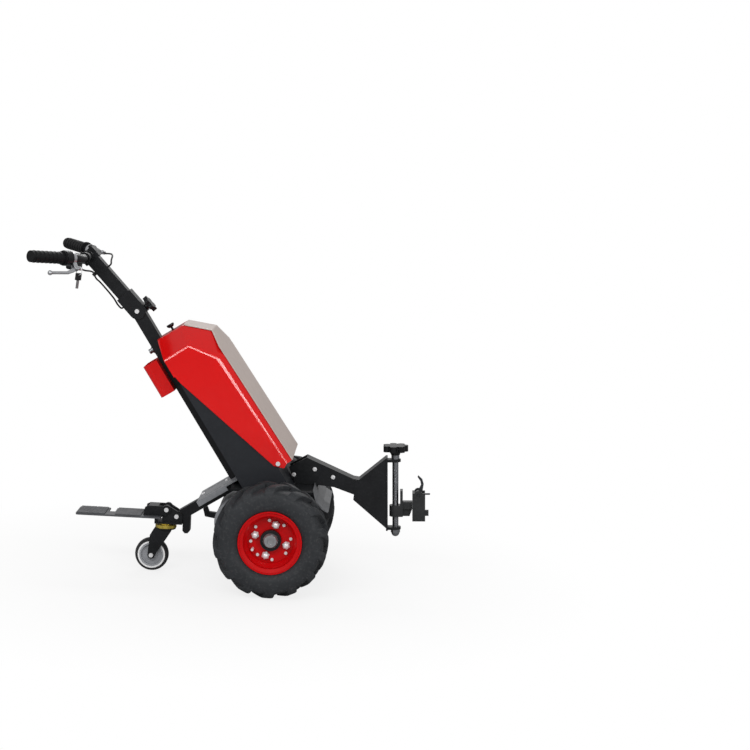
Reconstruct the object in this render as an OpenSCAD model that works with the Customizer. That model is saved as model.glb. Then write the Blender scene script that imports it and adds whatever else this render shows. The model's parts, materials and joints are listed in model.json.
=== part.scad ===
// Walk behind electric tug: two driven wheels, a swivel caster, a folding step,
// a leaned battery body with a hinged hood, a tilting handle and a screw-height hitch.
// X points forward to the hitch, Y to the left side, Z up from the ground.

/* [Wheels] */
// Diameter of the drive tyres over their lugs
tyre_d = 330; // [310:1:350]
// Width of a drive tyre
tyre_w = 128; // [118:1:136]
// Distance between the middle planes of the drive tyres
track = 450; // [446:1:500]
// Height of a tread lug above the carcass
lug_h = 13; // [6:1:16]
// Length of a tread lug around the tyre
lug_len = 34; // [26:1:38]
// Number of lugs on each side of a tyre
lug_count = 14; // [12:1:18]
// Diameter over the rim flanges
rim_d = 183; // [176:1:190]
// Width over the rim flanges
rim_w = 104; // [96:1:108]
// Thickness of the pressed rim metal
rim_wall = 4; // [3:0.5:5]
// Diameter of the black wheel hub
hub_d = 60; // [52:1:62]
// Pitch circle of the wheel studs
stud_pcd = 94; // [90:1:98]
// Diameter of the axle shafts
axle_d = 25; // [20:1:30]

/* [Body] */
// Lean of the battery body and its column, measured from the ground
lean = 57; // [55:0.5:60]
// Width of the body over the hood
body_w = 290; // [280:1:296]
// Depth of the battery box from its rear wall to its front wall
box_depth = 120; // [114:1:124]
// Length of the hood along the lean
hood_len = 500; // [480:1:530]
// Depth of the hood from its rear edge to its front panel
hood_depth = 170; // [166:1:180]
// Height of the hood's lower end above the axle, along the lean
hood_base = 150; // [146:1:156]
// Wall of the moulded hood
hood_wall = 4; // [3:0.5:5]
// Sheet thickness of the battery box
box_wall = 3; // [2:0.5:4]
// Outer width of the square column tubes
tube_w = 38; // [34:1:40]
// Wall of the square column tubes
tube_wall = 3; // [2:0.5:4]

/* [Handle] */
// Height of the handle pivot above the top of the hood, along the lean
pivot_rise = 100; // [85:1:130]
// Slope of the handle tube from the ground
handle_slope = 46.5; // [40:0.5:52]
// Length of the handle from its pivot to the handlebar
handle_len = 212; // [200:1:240]
// Diameter of the handlebar tube
bar_d = 25; // [22:1:28]
// Length of the straight middle of the handlebar, between its bends
bar_mid = 222; // [210:1:260]
// Backward sweep of the grips
grip_sweep = 39; // [25:1:45]
// Length of a grip
grip_len = 120; // [110:1:130]
// Diameter of a grip
grip_d = 33; // [31:1:36]
// Length of a brake lever blade
lever_len = 100; // [90:1:104]

/* [Rear arm and step] */
// Length of the rear arm behind the body, square to the lean
arm_len = 221; // [215:1:240]
// Width of the rear arm bar
arm_w = 30; // [26:1:32]
// Depth of the rear arm bar
arm_h = 30; // [26:1:32]
// Length of the folding step
step_len = 253; // [230:1:290]
// Width of the folding step
step_w = 96; // [84:1:120]
// Thickness of the step plate
step_t = 5; // [4:0.5:6]
// Diameter of the caster wheel
caster_d = 100; // [96:1:104]
// Width of the caster wheel
caster_w = 30; // [26:1:32]
// Offset of the caster axle behind its swivel
caster_trail = 39; // [34:1:42]

/* [Hitch] */
// Distance of the hitch screw ahead of the axle
hitch_reach = 350; // [344:1:380]
// Backward lean of the hitch screw
hitch_lean = 3; // [0:0.5:5]
// Diameter of the hitch screw
screw_d = 18; // [16:1:20]
// Gap between the two ears that hold the screw
ear_gap = 196; // [186:1:210]
// Diameter over the lobes of the hitch hand wheel
hand_wheel_d = 76; // [66:1:84]
// Width of the drawbar
drawbar_w = 55; // [50:1:62]

/* [Hidden] */

// Roundness, the overrun of cuts, the clearance of seats and the clearance of running fits
round_fn = 64;
fine_fn = 32;
over = 1;
gap = 0.3;
run_gap = 0.08;

// Shared plate and bolt sizes
plate_t = 5;
bolt_d = 8;
bolt_head_d = 13;
bolt_head_h = 5;
socket_share = 0.6;
axle_z = tyre_d / 2;

// Turns a depth and a height in the leaned body frame into a point ahead of and above the axle
function from_body(t, s) = [t * sin(lean) - s * cos(lean), t * cos(lean) + s * sin(lean)];
// Points of an outline: shares of a width and a height, from a corner
function outline(shares, size, corner = [0, 0]) =
    [for (c = shares) [corner.x + size.x * c[0], corner.y + size.y * c[1]]];

// Column and handle pivot
rear_wall = -10;
column_mid = rear_wall - gap - tube_w / 2;
pivot_up = hood_base + hood_len + pivot_rise;
pivot_at = from_body(column_mid, pivot_up);
bar_at = [pivot_at.x - handle_len * cos(handle_slope), pivot_at.y + handle_len * sin(handle_slope)];
// Handlebar: bend radius, straight run from the bend to the grip, and the rise of its swept ends
bend_r = 70;
control_run = 45;
bar_pitch = 6;
bend_reach = bend_r * tan(grip_sweep / 2);
grip_start = bend_reach + control_run;
grip_back = (grip_start + grip_len) * sin(grip_sweep);
grip_lean = norm([cos(grip_sweep) * cos(bar_pitch), sin(bar_pitch)]);
rear_reach = -bar_at.x + grip_back * cos(bar_pitch) + grip_d / 2 * grip_lean;

// Hitch screw place and the tip of its coupling pin
hitch_z = 105;
pin_tip = 103;
pin_d = 5;
front_reach = hitch_reach + pin_tip * cos(hitch_lean) + pin_d / 2 * sin(hitch_lean);
axle_x = (rear_reach - front_reach) / 2;

// Frames of reference
module at_axle() translate([axle_x, 0, axle_z]) children();
module body_frame() at_axle() rotate([0, lean - 90, 0]) children();
module handle_frame() at_axle() translate([pivot_at.x, 0, pivot_at.y])
    rotate([0, handle_slope - 90, 0]) children();
module bar_frame() at_axle() translate([bar_at.x, 0, bar_at.y]) rotate([0, bar_pitch, 0]) children();
module hitch_frame() at_axle() translate([hitch_reach, 0, hitch_z])
    rotate([0, -hitch_lean, 0]) children();
module wheel_frame(side) at_axle() translate([0, side * track / 2, 0])
    rotate([-side * 90, 0, 0]) children();
// Along a grip from its bend outward, with X ahead of the bar
module grip_frame(side) bar_frame() translate([0, side * (bar_mid / 2 + bend_reach), 0])
    rotate([0, 0, side * grip_sweep]) rotate([-side * 90, 0, 0])
        translate([0, 0, grip_start]) children();

// Small shared shapes
module rod(d, h) cylinder(d = d, h = h, $fn = round_fn);
module rod_y(d, w) rotate([90, 0, 0]) cylinder(d = d, h = w, center = true, $fn = round_fn);
module rod_x(d, h) rotate([0, 90, 0]) cylinder(d = d, h = h, $fn = round_fn);
module box(x, y, z) translate([x[0], y[0], z[0]]) cube([x[1] - x[0], y[1] - y[0], z[1] - z[0]]);
// A plate drawn in the X-Z plane and extruded over the width w, centred on Y
module side_plate(w) rotate([90, 0, 0]) linear_extrude(w, center = true) children();
module around(count, r, first = 0)
    for (i = [0:count - 1]) rotate([0, 0, first + i * 360 / count]) translate([r, 0, 0]) children();
module both_sides(y) for (side = [-1, 1]) translate([0, side * y, 0]) children();
// Bolt across Y with a round head on each end
module cross_bolt(d, half) {
    rod_y(d, 2 * half + 2 * gap);
    both_sides(half + gap + bolt_head_h / 2) rod_y(bolt_head_d, bolt_head_h);
}
// Button bolt along +Z: a low domed head with a hexagon socket, and its shank below
module bolt(shank) {
    difference() {
        union() {
            rod(bolt_head_d, bolt_head_h / 2);
            translate([0, 0, bolt_head_h / 2]) cylinder(d1 = bolt_head_d, d2 = bolt_head_d * socket_share,
                h = bolt_head_h / 2, $fn = round_fn);
        }
        translate([0, 0, bolt_head_h / 2]) cylinder(d = bolt_d * socket_share, h = bolt_head_h, $fn = 6);
    }
    translate([0, 0, -shank]) rod(bolt_d, shank);
}
dome_hex_share = 0.55;
// Cap nut: a hexagon with a dome of the diameter d
module dome_nut(d, h) {
    cylinder(d = d * 2 / sqrt(3), h = h * dome_hex_share, $fn = 6);
    translate([0, 0, h * dome_hex_share]) intersection() {
        sphere(d = d, $fn = fine_fn);
        translate([-d, -d, 0]) cube([2 * d, 2 * d, h]);
    }
}

// Tube swept along points as one closed mesh
function unit(v) = v / norm(v);
function tangent(p, i) = unit(p[min(i + 1, len(p) - 1)] - p[max(i - 1, 0)]);
function side_of(t) = unit(cross(t, abs(t.z) > 0.9 ? [1, 0, 0] : [0, 0, 1]));
module sweep(p, d, n = 8) {
    points = [for (i = [0:len(p) - 1], k = [0:n - 1])
        let (t = tangent(p, i), a = side_of(t), b = cross(a, t))
        p[i] + d / 2 * (a * cos(360 * k / n) + b * sin(360 * k / n))];
    last = (len(p) - 1) * n;
    sides = [for (i = [0:len(p) - 2], k = [0:n - 1], half = [0, 1])
        let (a = i * n + k, b = i * n + (k + 1) % n)
        half == 0 ? [a, b, a + n] : [b, b + n, a + n]];
    ends = [for (k = [1:n - 2], e = [0, 1]) e == 0 ? [0, k + 1, k] : [last, last + k, last + k + 1]];
    polyhedron(points = points, faces = concat(sides, ends), convexity = 6);
}
// Smooth curve through hand-chosen points
function spline_at(a, b, c, d, u) = 0.5 * (2 * b + (c - a) * u
    + (2 * a - 5 * b + 4 * c - d) * u * u + (3 * b - a - 3 * c + d) * u * u * u);
function spline(p, steps) = [for (i = [0:len(p) - 2], j = [0:steps - 1])
    spline_at(p[max(i - 1, 0)], p[i], p[i + 1], p[min(i + 2, len(p) - 1)], j / steps),
    p[len(p) - 1]];

// Drive tyre: a carcass with bulging walls whose beads sit between the rim flanges, and its lugs
flange_r = rim_d / 2;
bead_drop = 10;
bead_r = flange_r - bead_drop;
rim_half = rim_w / 2;
tyre_half = tyre_w / 2;
carcass_r = tyre_d / 2 - lug_h;
tyre_wall = 11;
bead_w = 15;
bead_half = rim_half - rim_wall - gap;
// Side wall: share of the way from flange to tread, share of the bulge beyond the bead
wall_shares = [[0.05, 0.4], [0.2, 0.82], [0.42, 1], [0.66, 0.96], [0.84, 0.72], [0.94, 0.25],
    [0.985, -0.5], [1, -1.3]];
function wall_points(inset) = [for (c = wall_shares)
    [flange_r + gap + (carcass_r - inset - flange_r - gap) * c[0],
        bead_half - inset + (tyre_half - bead_half) * c[1]]];
function both_halves(half) = concat(half, [for (i = [len(half) - 1:-1:0]) [half[i].x, -half[i].y]]);
module carcass() rotate_extrude($fn = round_fn) difference() {
    polygon(both_halves(concat([[bead_r, bead_half - rim_wall], [flange_r + gap, bead_half]],
        wall_points(0))));
    polygon(both_halves(concat([[bead_r - over, bead_half - bead_w], [flange_r, bead_half - bead_w]],
        wall_points(tyre_wall))));
}
lug_slant = 17;
lug_root_share = 0.5;
lug_top_share = 0.8;
shoulder_share = 0.07;
// Lug stations from the middle out: share of the half width, share of the lug height
lug_shares = [[0.03, 1], [0.42, 1], [0.74, 0.92], [0.93, 0.1]];
function lug_point(share, lift, turn) =
    let (r = carcass_r * (1 - shoulder_share * pow(share, 4)) + lug_h * lift)
    [r * cos(turn), r * sin(turn), tyre_half * share];
module lug() {
    turn = lug_len / tyre_d * 180 / PI;
    points = [for (c = lug_shares) let (slant = lug_slant * c[0])
        each [lug_point(c[0], -lug_root_share, slant - turn),
            lug_point(c[0], c[1], slant - turn * lug_top_share),
            lug_point(c[0], c[1], slant + turn * lug_top_share),
                lug_point(c[0], -lug_root_share, slant + turn)]];
    last = 4 * (len(lug_shares) - 1);
    walls = [for (i = [0:len(lug_shares) - 2], k = [0:3], half = [0, 1])
        let (a = 4 * i + k, b = 4 * i + (k + 1) % 4)
        half == 0 ? [a, a + 4, b] : [b, a + 4, b + 4]];
    polyhedron(points = points, faces = concat(walls,
        [[0, 1, 2], [0, 2, 3], [last, last + 2, last + 1], [last, last + 3, last + 2]]));
}
module tyre(side) color([0.10, 0.10, 0.11]) wheel_frame(side) {
    carcass();
    for (i = [0:lug_count - 1], half = [0, 1])
        rotate([0, 0, (i + half / 2) * 360 / lug_count]) mirror([0, 0, half]) lug();
}

// Rim: a rolled barrel with a well, and a pressed disc
disc_front = 5;
disc_t = 5;
disc_back = disc_front - disc_t;
well_drop = 11;
well_r = bead_r - well_drop;
bead_seat_share = 0.55;
well_share = 0.3;
function barrel_points(r_in) = [[flange_r - r_in, rim_half], [flange_r - r_in, rim_half - rim_wall],
    [bead_r - gap - r_in, rim_half - 2 * rim_wall], [bead_r - gap - r_in, rim_half * bead_seat_share],
    [well_r - r_in, rim_half * well_share]];
module barrel() rotate_extrude($fn = round_fn) difference() {
    polygon(both_halves(concat([[0, rim_half]], barrel_points(0))));
    polygon(both_halves(concat([[0, rim_half + over]],
        [for (p = barrel_points(rim_wall)) p.y < rim_half ? p : [p.x, p.y + over]])));
}
stud_d = 12;
wheel_nut_d = 20;
stud_count = 4;
stud_first = 74;
rim_bolt_d = 6;
rim_bolt_count = 8;
rim_bolt_r = (well_r - rim_wall + stud_pcd / 2) / 2 + 2 * gap;
rim_bolt_first = 6;
module stud_holes() around(stud_count, stud_pcd / 2, stud_first)
    translate([0, 0, -rim_half]) rod(stud_d + 2 * gap, rim_w);
module rim(side) color([0.78, 0.07, 0.06]) wheel_frame(side) difference() {
    union() {
        barrel();
        translate([0, 0, disc_back]) rod(2 * (well_r - rim_wall + over), disc_t);
    }
    translate([0, 0, -rim_w]) rod(hub_d + 2 * gap, 2 * rim_w);
    stud_holes();
    around(rim_bolt_count, rim_bolt_r, rim_bolt_first)
        translate([0, 0, -rim_half]) rod(rim_bolt_d + 2 * gap, rim_w);
}
// Hub: a flange behind the disc, a pilot through it and a sleeve towards the axle tube
hub_room = 78;
tube_half = track / 2 - hub_room;
hub_flange_d = stud_pcd + wheel_nut_d;
hub_flange_t = 9;
hub_front = 20;
hub_sleeve_d = 46;
hub_back = -(track / 2 - tube_half - 3 * over);
flange_back = disc_back - gap - hub_flange_t;
module hub(side) color([0.09, 0.09, 0.10]) wheel_frame(side) difference() {
    union() {
        translate([0, 0, hub_back]) rod(hub_sleeve_d, -hub_back);
        translate([0, 0, flange_back]) rod(hub_flange_d, hub_flange_t);
        translate([0, 0, flange_back]) rod(hub_d, hub_front - flange_back);
    }
    translate([0, 0, hub_back - over]) rod(axle_d + 2 * run_gap, hub_front - hub_back + 2 * over);
    stud_holes();
}
wheel_nut_h = 13;
rim_nut_d = 9;
rim_nut_h = 4;
valve_turn = 208;
valve_d = 8;
valve_h = 22;
module wheel_nuts(side) color("silver") wheel_frame(side) {
    around(stud_count, stud_pcd / 2, stud_first) {
        translate([0, 0, disc_front + gap]) dome_nut(wheel_nut_d, wheel_nut_h);
        translate([0, 0, flange_back - gap]) rod(stud_d, disc_front - flange_back + 2 * gap);
        translate([0, 0, flange_back - gap - bolt_head_h])
            cylinder(d = wheel_nut_d, h = bolt_head_h, $fn = 6);
    }
    around(rim_bolt_count, rim_bolt_r, rim_bolt_first) {
        translate([0, 0, disc_front + gap]) rod(rim_nut_d, rim_nut_h);
        translate([0, 0, disc_back]) rod(rim_bolt_d, disc_t + gap);
    }
    rotate([0, 0, valve_turn]) translate([rim_bolt_r, 0, disc_front + gap]) rod(valve_d, valve_h);
}
shaft_in = 40;
axle_nut_d = 44;
axle_nut_h = 9;
axle_dimple_d = 18;
axle_dimple_h = 4;
module axle(side) color("silver") wheel_frame(side) {
    translate([0, 0, shaft_in - track / 2]) rod(axle_d, track / 2 + hub_front - shaft_in);
    translate([0, 0, hub_front]) rod(axle_d - 2 * rim_wall, gap);
    translate([0, 0, hub_front + gap]) difference() {
        cylinder(d1 = axle_nut_d, d2 = axle_nut_d - axle_nut_h, h = axle_nut_h, $fn = round_fn);
        translate([0, 0, axle_nut_h - axle_dimple_h]) rod(axle_dimple_d, axle_dimple_h + over);
    }
}

// Transaxle: the axle tube, the gear case on the left and the motor across the machine behind
axle_tube_d = 60;
axle_bore_play = 2;
bearing_d = 52;
bearing_w = 15;
motor_at = [-108, 18];
motor_d = 134;
motor_len = 158;
motor_neck_d = 60;
case_in = 60;
case_w = 48;
case_r = 68;
case_mid = case_in + case_w / 2;
module transaxle() color([0.25, 0.26, 0.27]) at_axle() difference() {
    union() {
        rod_y(axle_tube_d, 2 * tube_half);
        translate([0, case_mid, 0]) {
            rod_y(2 * case_r, case_w);
            translate([motor_at.x, 0, motor_at.y]) rod_y(2 * case_r, case_w);
            side_plate(case_w) polygon([[0, case_r], [motor_at.x, motor_at.y + case_r],
                [motor_at.x, motor_at.y - case_r], [0, -case_r]]);
        }
    }
    rod_y(axle_d + 2 * axle_bore_play, 2 * tube_half + 2 * over);
    both_sides(tube_half - bearing_w / 2 + over / 2) rod_y(bearing_d, bearing_w + over);
}
motor_out = case_in - gap - bearing_w;
module drive_motor() color([0.55, 0.56, 0.58]) at_axle() translate([motor_at.x, 0, motor_at.y]) {
    translate([0, motor_out - motor_len / 2, 0]) rod_y(motor_d, motor_len);
    translate([0, (case_in - gap + motor_out) / 2, 0]) rod_y(motor_neck_d, bearing_w);
}
module axle_bearings() color("silver") at_axle() both_sides(tube_half - bearing_w / 2) difference() {
    rod_y(bearing_d - 2 * run_gap, bearing_w);
    rod_y(axle_d + 2 * run_gap, bearing_w + 2 * over);
}

// Frame: top plate with saddles on the axle tube and cheeks that hold the rear arm
frame_plate = 8;
frame_rise = 96;
frame_top = axle_tube_d / 2 + frame_rise;
frame_in = 2;
frame_half = tube_half - frame_in;
frame_rear = -128;
frame_front = 110;
cheek_t = 6;
cheek_low = 94;
saddle_inset = 20;
arm_base = 147.6;
arm_top = arm_base + arm_h;
arm_half = arm_w / 2;
cheek_y = arm_half + gap + cheek_t / 2;
saddle_y = tube_half - bearing_w - cheek_t;
saddle_w = 34;
// Shares of the half foot and of the height of a saddle plate
saddle_shares = [[-1, -0.27], [1, -0.27], [1.8, 1], [-1.8, 1]];
// Shares of the cheek length and depth, from its front top corner
cheek_shares = [[0, 1], [-1, 1], [-1, 0], [-0.65, 0], [-0.2, 0.45]];
slot_end = from_body(rear_wall, arm_base).x + 4 * gap;
module main_frame() color([0.08, 0.08, 0.09]) at_axle() {
    difference() {
        box([frame_rear, frame_front], [-frame_half, frame_half], [frame_top - frame_plate, frame_top]);
        box([frame_rear - over, slot_end], [-arm_half - gap, arm_half + gap], [0, frame_top + over]);
    }
    both_sides(saddle_y) difference() {
        side_plate(cheek_t) polygon(outline(saddle_shares, [saddle_w, frame_top - over]));
        rod_y(axle_tube_d + 2 * run_gap, 2 * cheek_t);
    }
    both_sides(cheek_y) side_plate(cheek_t)
        polygon(outline(cheek_shares, [-frame_rear - saddle_inset, frame_top - over - cheek_low],
            [-saddle_inset, cheek_low]));
}

// Rear arm, square to the lean, with its stop leg and the lug for the caster bracket
leg_w = 22;
leg_low = -45;
// Leg with its corners cut off at the foot: share of its width, share of its height
leg_shares = [[0, 1], [0, 0.14], [0.3, 0], [0.7, 0], [1, 0.14], [1, 1]];
leg_set = 4;
arm_end = rear_wall - arm_len;
arm_foot = from_body(arm_end, arm_base);
arm_lug_z = [-5, 16];
arm_lug_len = 30;
bracket_bolt_up = 6;
bracket_bolt_at = [arm_foot.x - leg_w, bracket_bolt_up];
module rear_arm() color([0.08, 0.08, 0.09]) at_axle() difference() {
    side_plate(arm_w) {
        polygon([from_body(arm_end, arm_base), from_body(rear_wall - gap, arm_base),
            from_body(rear_wall - gap, arm_top), from_body(arm_end, arm_top)]);
        polygon(outline(leg_shares, [leg_w, arm_foot.y + leg_w / 2 - leg_low],
            [arm_foot.x - leg_set, leg_low]));
        polygon([[arm_foot.x - arm_lug_len, arm_lug_z[0]], [arm_foot.x - leg_set + over, arm_lug_z[0]],
            [arm_foot.x - leg_set + over, arm_lug_z[1]], [arm_foot.x - arm_lug_len, arm_lug_z[1]]]);
    }
    translate([bracket_bolt_at.x, 0, bracket_bolt_at.y]) rod_y(bolt_d + 2 * gap, arm_w + 2 * over);
}
deck_w = 165;
deck_len = 149;
deck_t = 4;
deck_lip = 12;
deck_front = rear_wall - gap;
deck_low = arm_top + gap;
deck_slot = [24, 8];
deck_pitch = 32;
deck_slot_y = 48;
deck_bolt_in = 14;
deck_bolts_at = [column_mid - tube_w / 2 - deck_bolt_in, rear_wall - deck_len + deck_bolt_in];
module arm_deck() color([0.3, 0.31, 0.32]) body_frame() difference() {
    union() {
        box([rear_wall - deck_len, deck_front], [-deck_w / 2, deck_w / 2], [deck_low, deck_low + deck_t]);
        both_sides(deck_w / 2 - deck_t / 2) box([rear_wall - deck_len, rear_wall - tube_w - deck_lip],
            [-deck_t / 2, deck_t / 2], [deck_low - deck_lip, deck_low + deck_t]);
    }
    for (i = [0:2]) both_sides(deck_slot_y)
        translate([rear_wall - deck_pitch * (i + 1.5), 0, deck_low - over])
            box([-deck_slot.x / 2, deck_slot.x / 2],
            [-deck_slot.y / 2, deck_slot.y / 2], [0, deck_t + 2 * over]);
    for (t = deck_bolts_at) translate([t, 0, deck_low - over]) rod(bolt_d + 2 * gap, deck_t + 2 * over);
}
// Torque link from the underside of the arm to the motor
link_w = 16;
link_size = [44, 36];
link_at = [motor_at.x - motor_d / 2 - gap - link_size.x, 2];
link_shares = [[0, 0.8], [0.14, 0.17], [1, 0], [1, 0.5], [0.41, 0.56], [0.27, 0.985]];
link_pin_d = 10;
module torque_link() color([0.08, 0.08, 0.09]) at_axle() {
    side_plate(link_w) polygon(outline(link_shares, link_size, link_at));
    translate([link_at.x + link_pin_d, 0, link_at.y + link_size.y / 3]) rod_y(link_pin_d, link_w + plate_t);
}

// Caster under the end of the arm
stem_set = 55;
stem_x = arm_foot.x - stem_set;
stem_d = 12;
race_d = 63;
race_top_d = 44;
race_t = 14;
bracket_z = -17;
bracket_top = bracket_z + plate_t;
bracket_w = 56;
bracket_rear = stem_x - race_d / 2;
bracket_front = arm_foot.x - leg_set - 2 * gap;
ear_r = 13;
ear_y = arm_half + gap + plate_t / 2;
hinge_set = [3, 26];
hinge_at = [stem_x + hinge_set.x, hinge_set.y];
step_top = 7;
step_low = step_top - step_t;
caster_z = caster_d / 2 - axle_z;
module caster_bracket() color([0.08, 0.08, 0.09]) at_axle() difference() {
    union() {
        box([bracket_rear, bracket_front], [-bracket_w / 2, bracket_w / 2], [bracket_z, bracket_top]);
        box([bracket_rear, bracket_rear + plate_t], [-bracket_w / 2, bracket_w / 2],
            [bracket_z, step_low - gap]);
        both_sides(ear_y) {
            side_plate(plate_t) polygon([[hinge_at.x - ear_r, bracket_z], [bracket_front, bracket_z],
                [bracket_front, bracket_bolt_at.y + ear_r / 2], [hinge_at.x + ear_r * sin(handle_slope),
                hinge_at.y + ear_r * cos(handle_slope)], [hinge_at.x - ear_r, hinge_at.y]]);
            translate([hinge_at.x, 0, hinge_at.y]) rod_y(2 * ear_r, plate_t);
        }
    }
    translate([bracket_bolt_at.x, 0, bracket_bolt_at.y]) rod_y(bolt_d + 2 * gap, bracket_w + 2 * over);
    translate([hinge_at.x, 0, hinge_at.y]) rod_y(bolt_d + 2 * run_gap, bracket_w + 2 * over);
    translate([stem_x, 0, bracket_z - over]) rod(stem_d + 2 * gap, plate_t + 2 * over);
}
race_top = bracket_z - gap;
module caster_race() color([0.72, 0.62, 0.22]) at_axle() translate([stem_x, 0, race_top - race_t])
    difference() {
        union() {
            rod(race_d, race_t - plate_t);
            rod(race_top_d, race_t);
        }
        translate([0, 0, -over]) rod(stem_d + 2 * gap, race_t + 2 * over);
    }
fork_t = 4;
fork_in = caster_w / 2 + 3 * over;
fork_top = race_top - race_t - gap;
fork_y = fork_in + fork_t / 2;
fork_rear = -race_d / 2;
fork_front = race_d / 3;
boss_r = 11;
stem_nut_d = 22;
stem_nut_h = 8;
module caster_fork() color([0.08, 0.08, 0.09]) at_axle() translate([stem_x, 0, 0]) difference() {
    union() {
        translate([0, 0, fork_top - fork_t]) rod(race_d - fork_t, fork_t);
        box([fork_rear, fork_front], [-fork_in - fork_t, fork_in + fork_t], [fork_top - fork_t, fork_top]);
        both_sides(fork_y) {
            side_plate(fork_t) polygon([[fork_rear, fork_top], [fork_front, fork_top],
                [fork_front - fork_t, fork_top - boss_r], [-caster_trail + boss_r, caster_z],
                [-caster_trail - boss_r, caster_z], [-caster_trail - boss_r / 2, fork_top - 2 * boss_r]]);
            translate([-caster_trail, 0, caster_z]) rod_y(2 * boss_r, fork_t);
        }
        translate([0, 0, fork_top - fork_t]) rod(stem_d, bracket_top + gap + stem_nut_h - fork_top + fork_t);
        translate([0, 0, bracket_top + gap]) rod(stem_nut_d, stem_nut_h);
    }
    translate([-caster_trail, 0, caster_z]) rod_y(bolt_d + 2 * gap, 2 * race_d);
}
core_share = 0.72;
core_r = caster_d * core_share / 2;
// Half section of the caster tread: share of the radius, share of the half width
caster_shares = [[0.9, 0.94], [0.98, 0.5], [1, 0.25]];
module at_caster() at_axle() translate([stem_x - caster_trail, 0, caster_z]) rotate([90, 0, 0]) children();
module caster_wheel() color([0.12, 0.12, 0.13]) at_caster() rotate_extrude($fn = round_fn)
    polygon(both_halves(concat([[core_r, caster_w / 2 * caster_shares[0][1]]],
        outline(caster_shares, [caster_d / 2, caster_w / 2]))));
core_rim = 5;
core_web = 12;
core_hub_d = 24;
module caster_core() color([0.62, 0.62, 0.64]) at_caster() difference() {
    union() {
        cylinder(r = core_r, h = caster_w - fork_t, center = true, $fn = round_fn);
        cylinder(d = core_hub_d, h = caster_w + fork_t, center = true, $fn = round_fn);
    }
    for (side = [0, 1]) mirror([0, 0, side]) translate([0, 0, core_web / 2]) difference() {
        cylinder(r = core_r - core_rim, h = caster_w, $fn = round_fn);
        translate([0, 0, -over]) rod(core_hub_d, caster_w + 2 * over);
    }
    cylinder(d = bolt_d + 2 * run_gap, h = caster_w + 2 * fork_t, center = true, $fn = round_fn);
}
module caster_axle() color("silver") at_axle() translate([stem_x - caster_trail, 0, caster_z])
    cross_bolt(bolt_d, fork_in + fork_t);

// Folding step on its hinge
step_front = hinge_at.x - ear_r - over;
step_rear = step_front - step_len;
step_corner = 8;
notch_w = 20;
notch_share = 0.36;
notch_at = step_rear + step_len * notch_share;
module step_plate() color([0.10, 0.10, 0.11]) at_axle() difference() {
    union() {
        box([step_rear + step_corner, step_front], [-step_w / 2, step_w / 2], [step_low, step_top]);
        box([step_rear, step_front], [-step_w / 2 + step_corner, step_w / 2 - step_corner],
            [step_low, step_top]);
        both_sides(step_w / 2 - step_corner) translate([step_rear + step_corner, 0, step_low])
            rod(2 * step_corner, step_t);
    }
    box([notch_at, notch_at + notch_w], [0, step_w], [step_low - over, step_top + over]);
}
mat_t = 3;
mat_inset = 5;
groove_w = 2;
groove_pitch = 17;
rib_count = 5;
bracket_len = 55;
mat_y = [-step_w / 2 + mat_inset, step_w / 2 - mat_inset];
module step_mats() color([0.28, 0.28, 0.29]) at_axle() {
    difference() {
        box([step_rear + mat_inset, notch_at - mat_inset], mat_y, [step_top + gap, step_top + gap + mat_t]);
        for (i = [0:floor(step_len * notch_share / groove_pitch)], turn = [-45, 45])
            translate([step_rear + groove_pitch * (i + 0.5), 0, step_top + gap + mat_t / 2])
                rotate([0, 0, turn])
                box([-groove_w / 2, groove_w / 2], [-step_w, step_w], [0, mat_t]);
    }
    difference() {
        box([notch_at + notch_w + mat_inset, step_front - bracket_len - mat_inset], mat_y,
            [step_top + gap, step_top + gap + mat_t]);
        for (i = [0:rib_count - 1]) translate([0, mat_y[0] + (i + 0.5) * (mat_y[1] - mat_y[0]) / rib_count, 0])
            box([notch_at, step_front], [-groove_w, groove_w],
                [step_top + gap + mat_t / 2, step_top + 2 * mat_t]);
    }
}
step_ear_y = ear_y + plate_t + gap;
bracket_h = 29;
bracket_roof = [step_top + bracket_h - plate_t, step_top + bracket_h];
module step_bracket() color([0.08, 0.08, 0.09]) at_axle() difference() {
    union() {
        both_sides(step_ear_y) {
            side_plate(plate_t) polygon([[step_front - bracket_len, step_top + gap],
                [step_front - bracket_len + plate_t, bracket_roof[0]],
                    [step_front - bracket_len + 3 * plate_t, bracket_roof[1]],
                [hinge_at.x, bracket_roof[1]], [hinge_at.x, step_top + gap]]);
            translate([hinge_at.x, 0, hinge_at.y]) rod_y(2 * ear_r, plate_t);
        }
        box([step_front - bracket_len + plate_t, step_front - plate_t], [-step_ear_y, step_ear_y],
            [step_top + gap, step_top + gap + plate_t]);
        box([step_front - bracket_len + 3 * plate_t, step_front - 2 * plate_t],
            [-step_ear_y, step_ear_y], bracket_roof);
    }
    translate([hinge_at.x, 0, hinge_at.y]) rod_y(bolt_d + 2 * run_gap, 2 * bracket_w);
}

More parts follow.
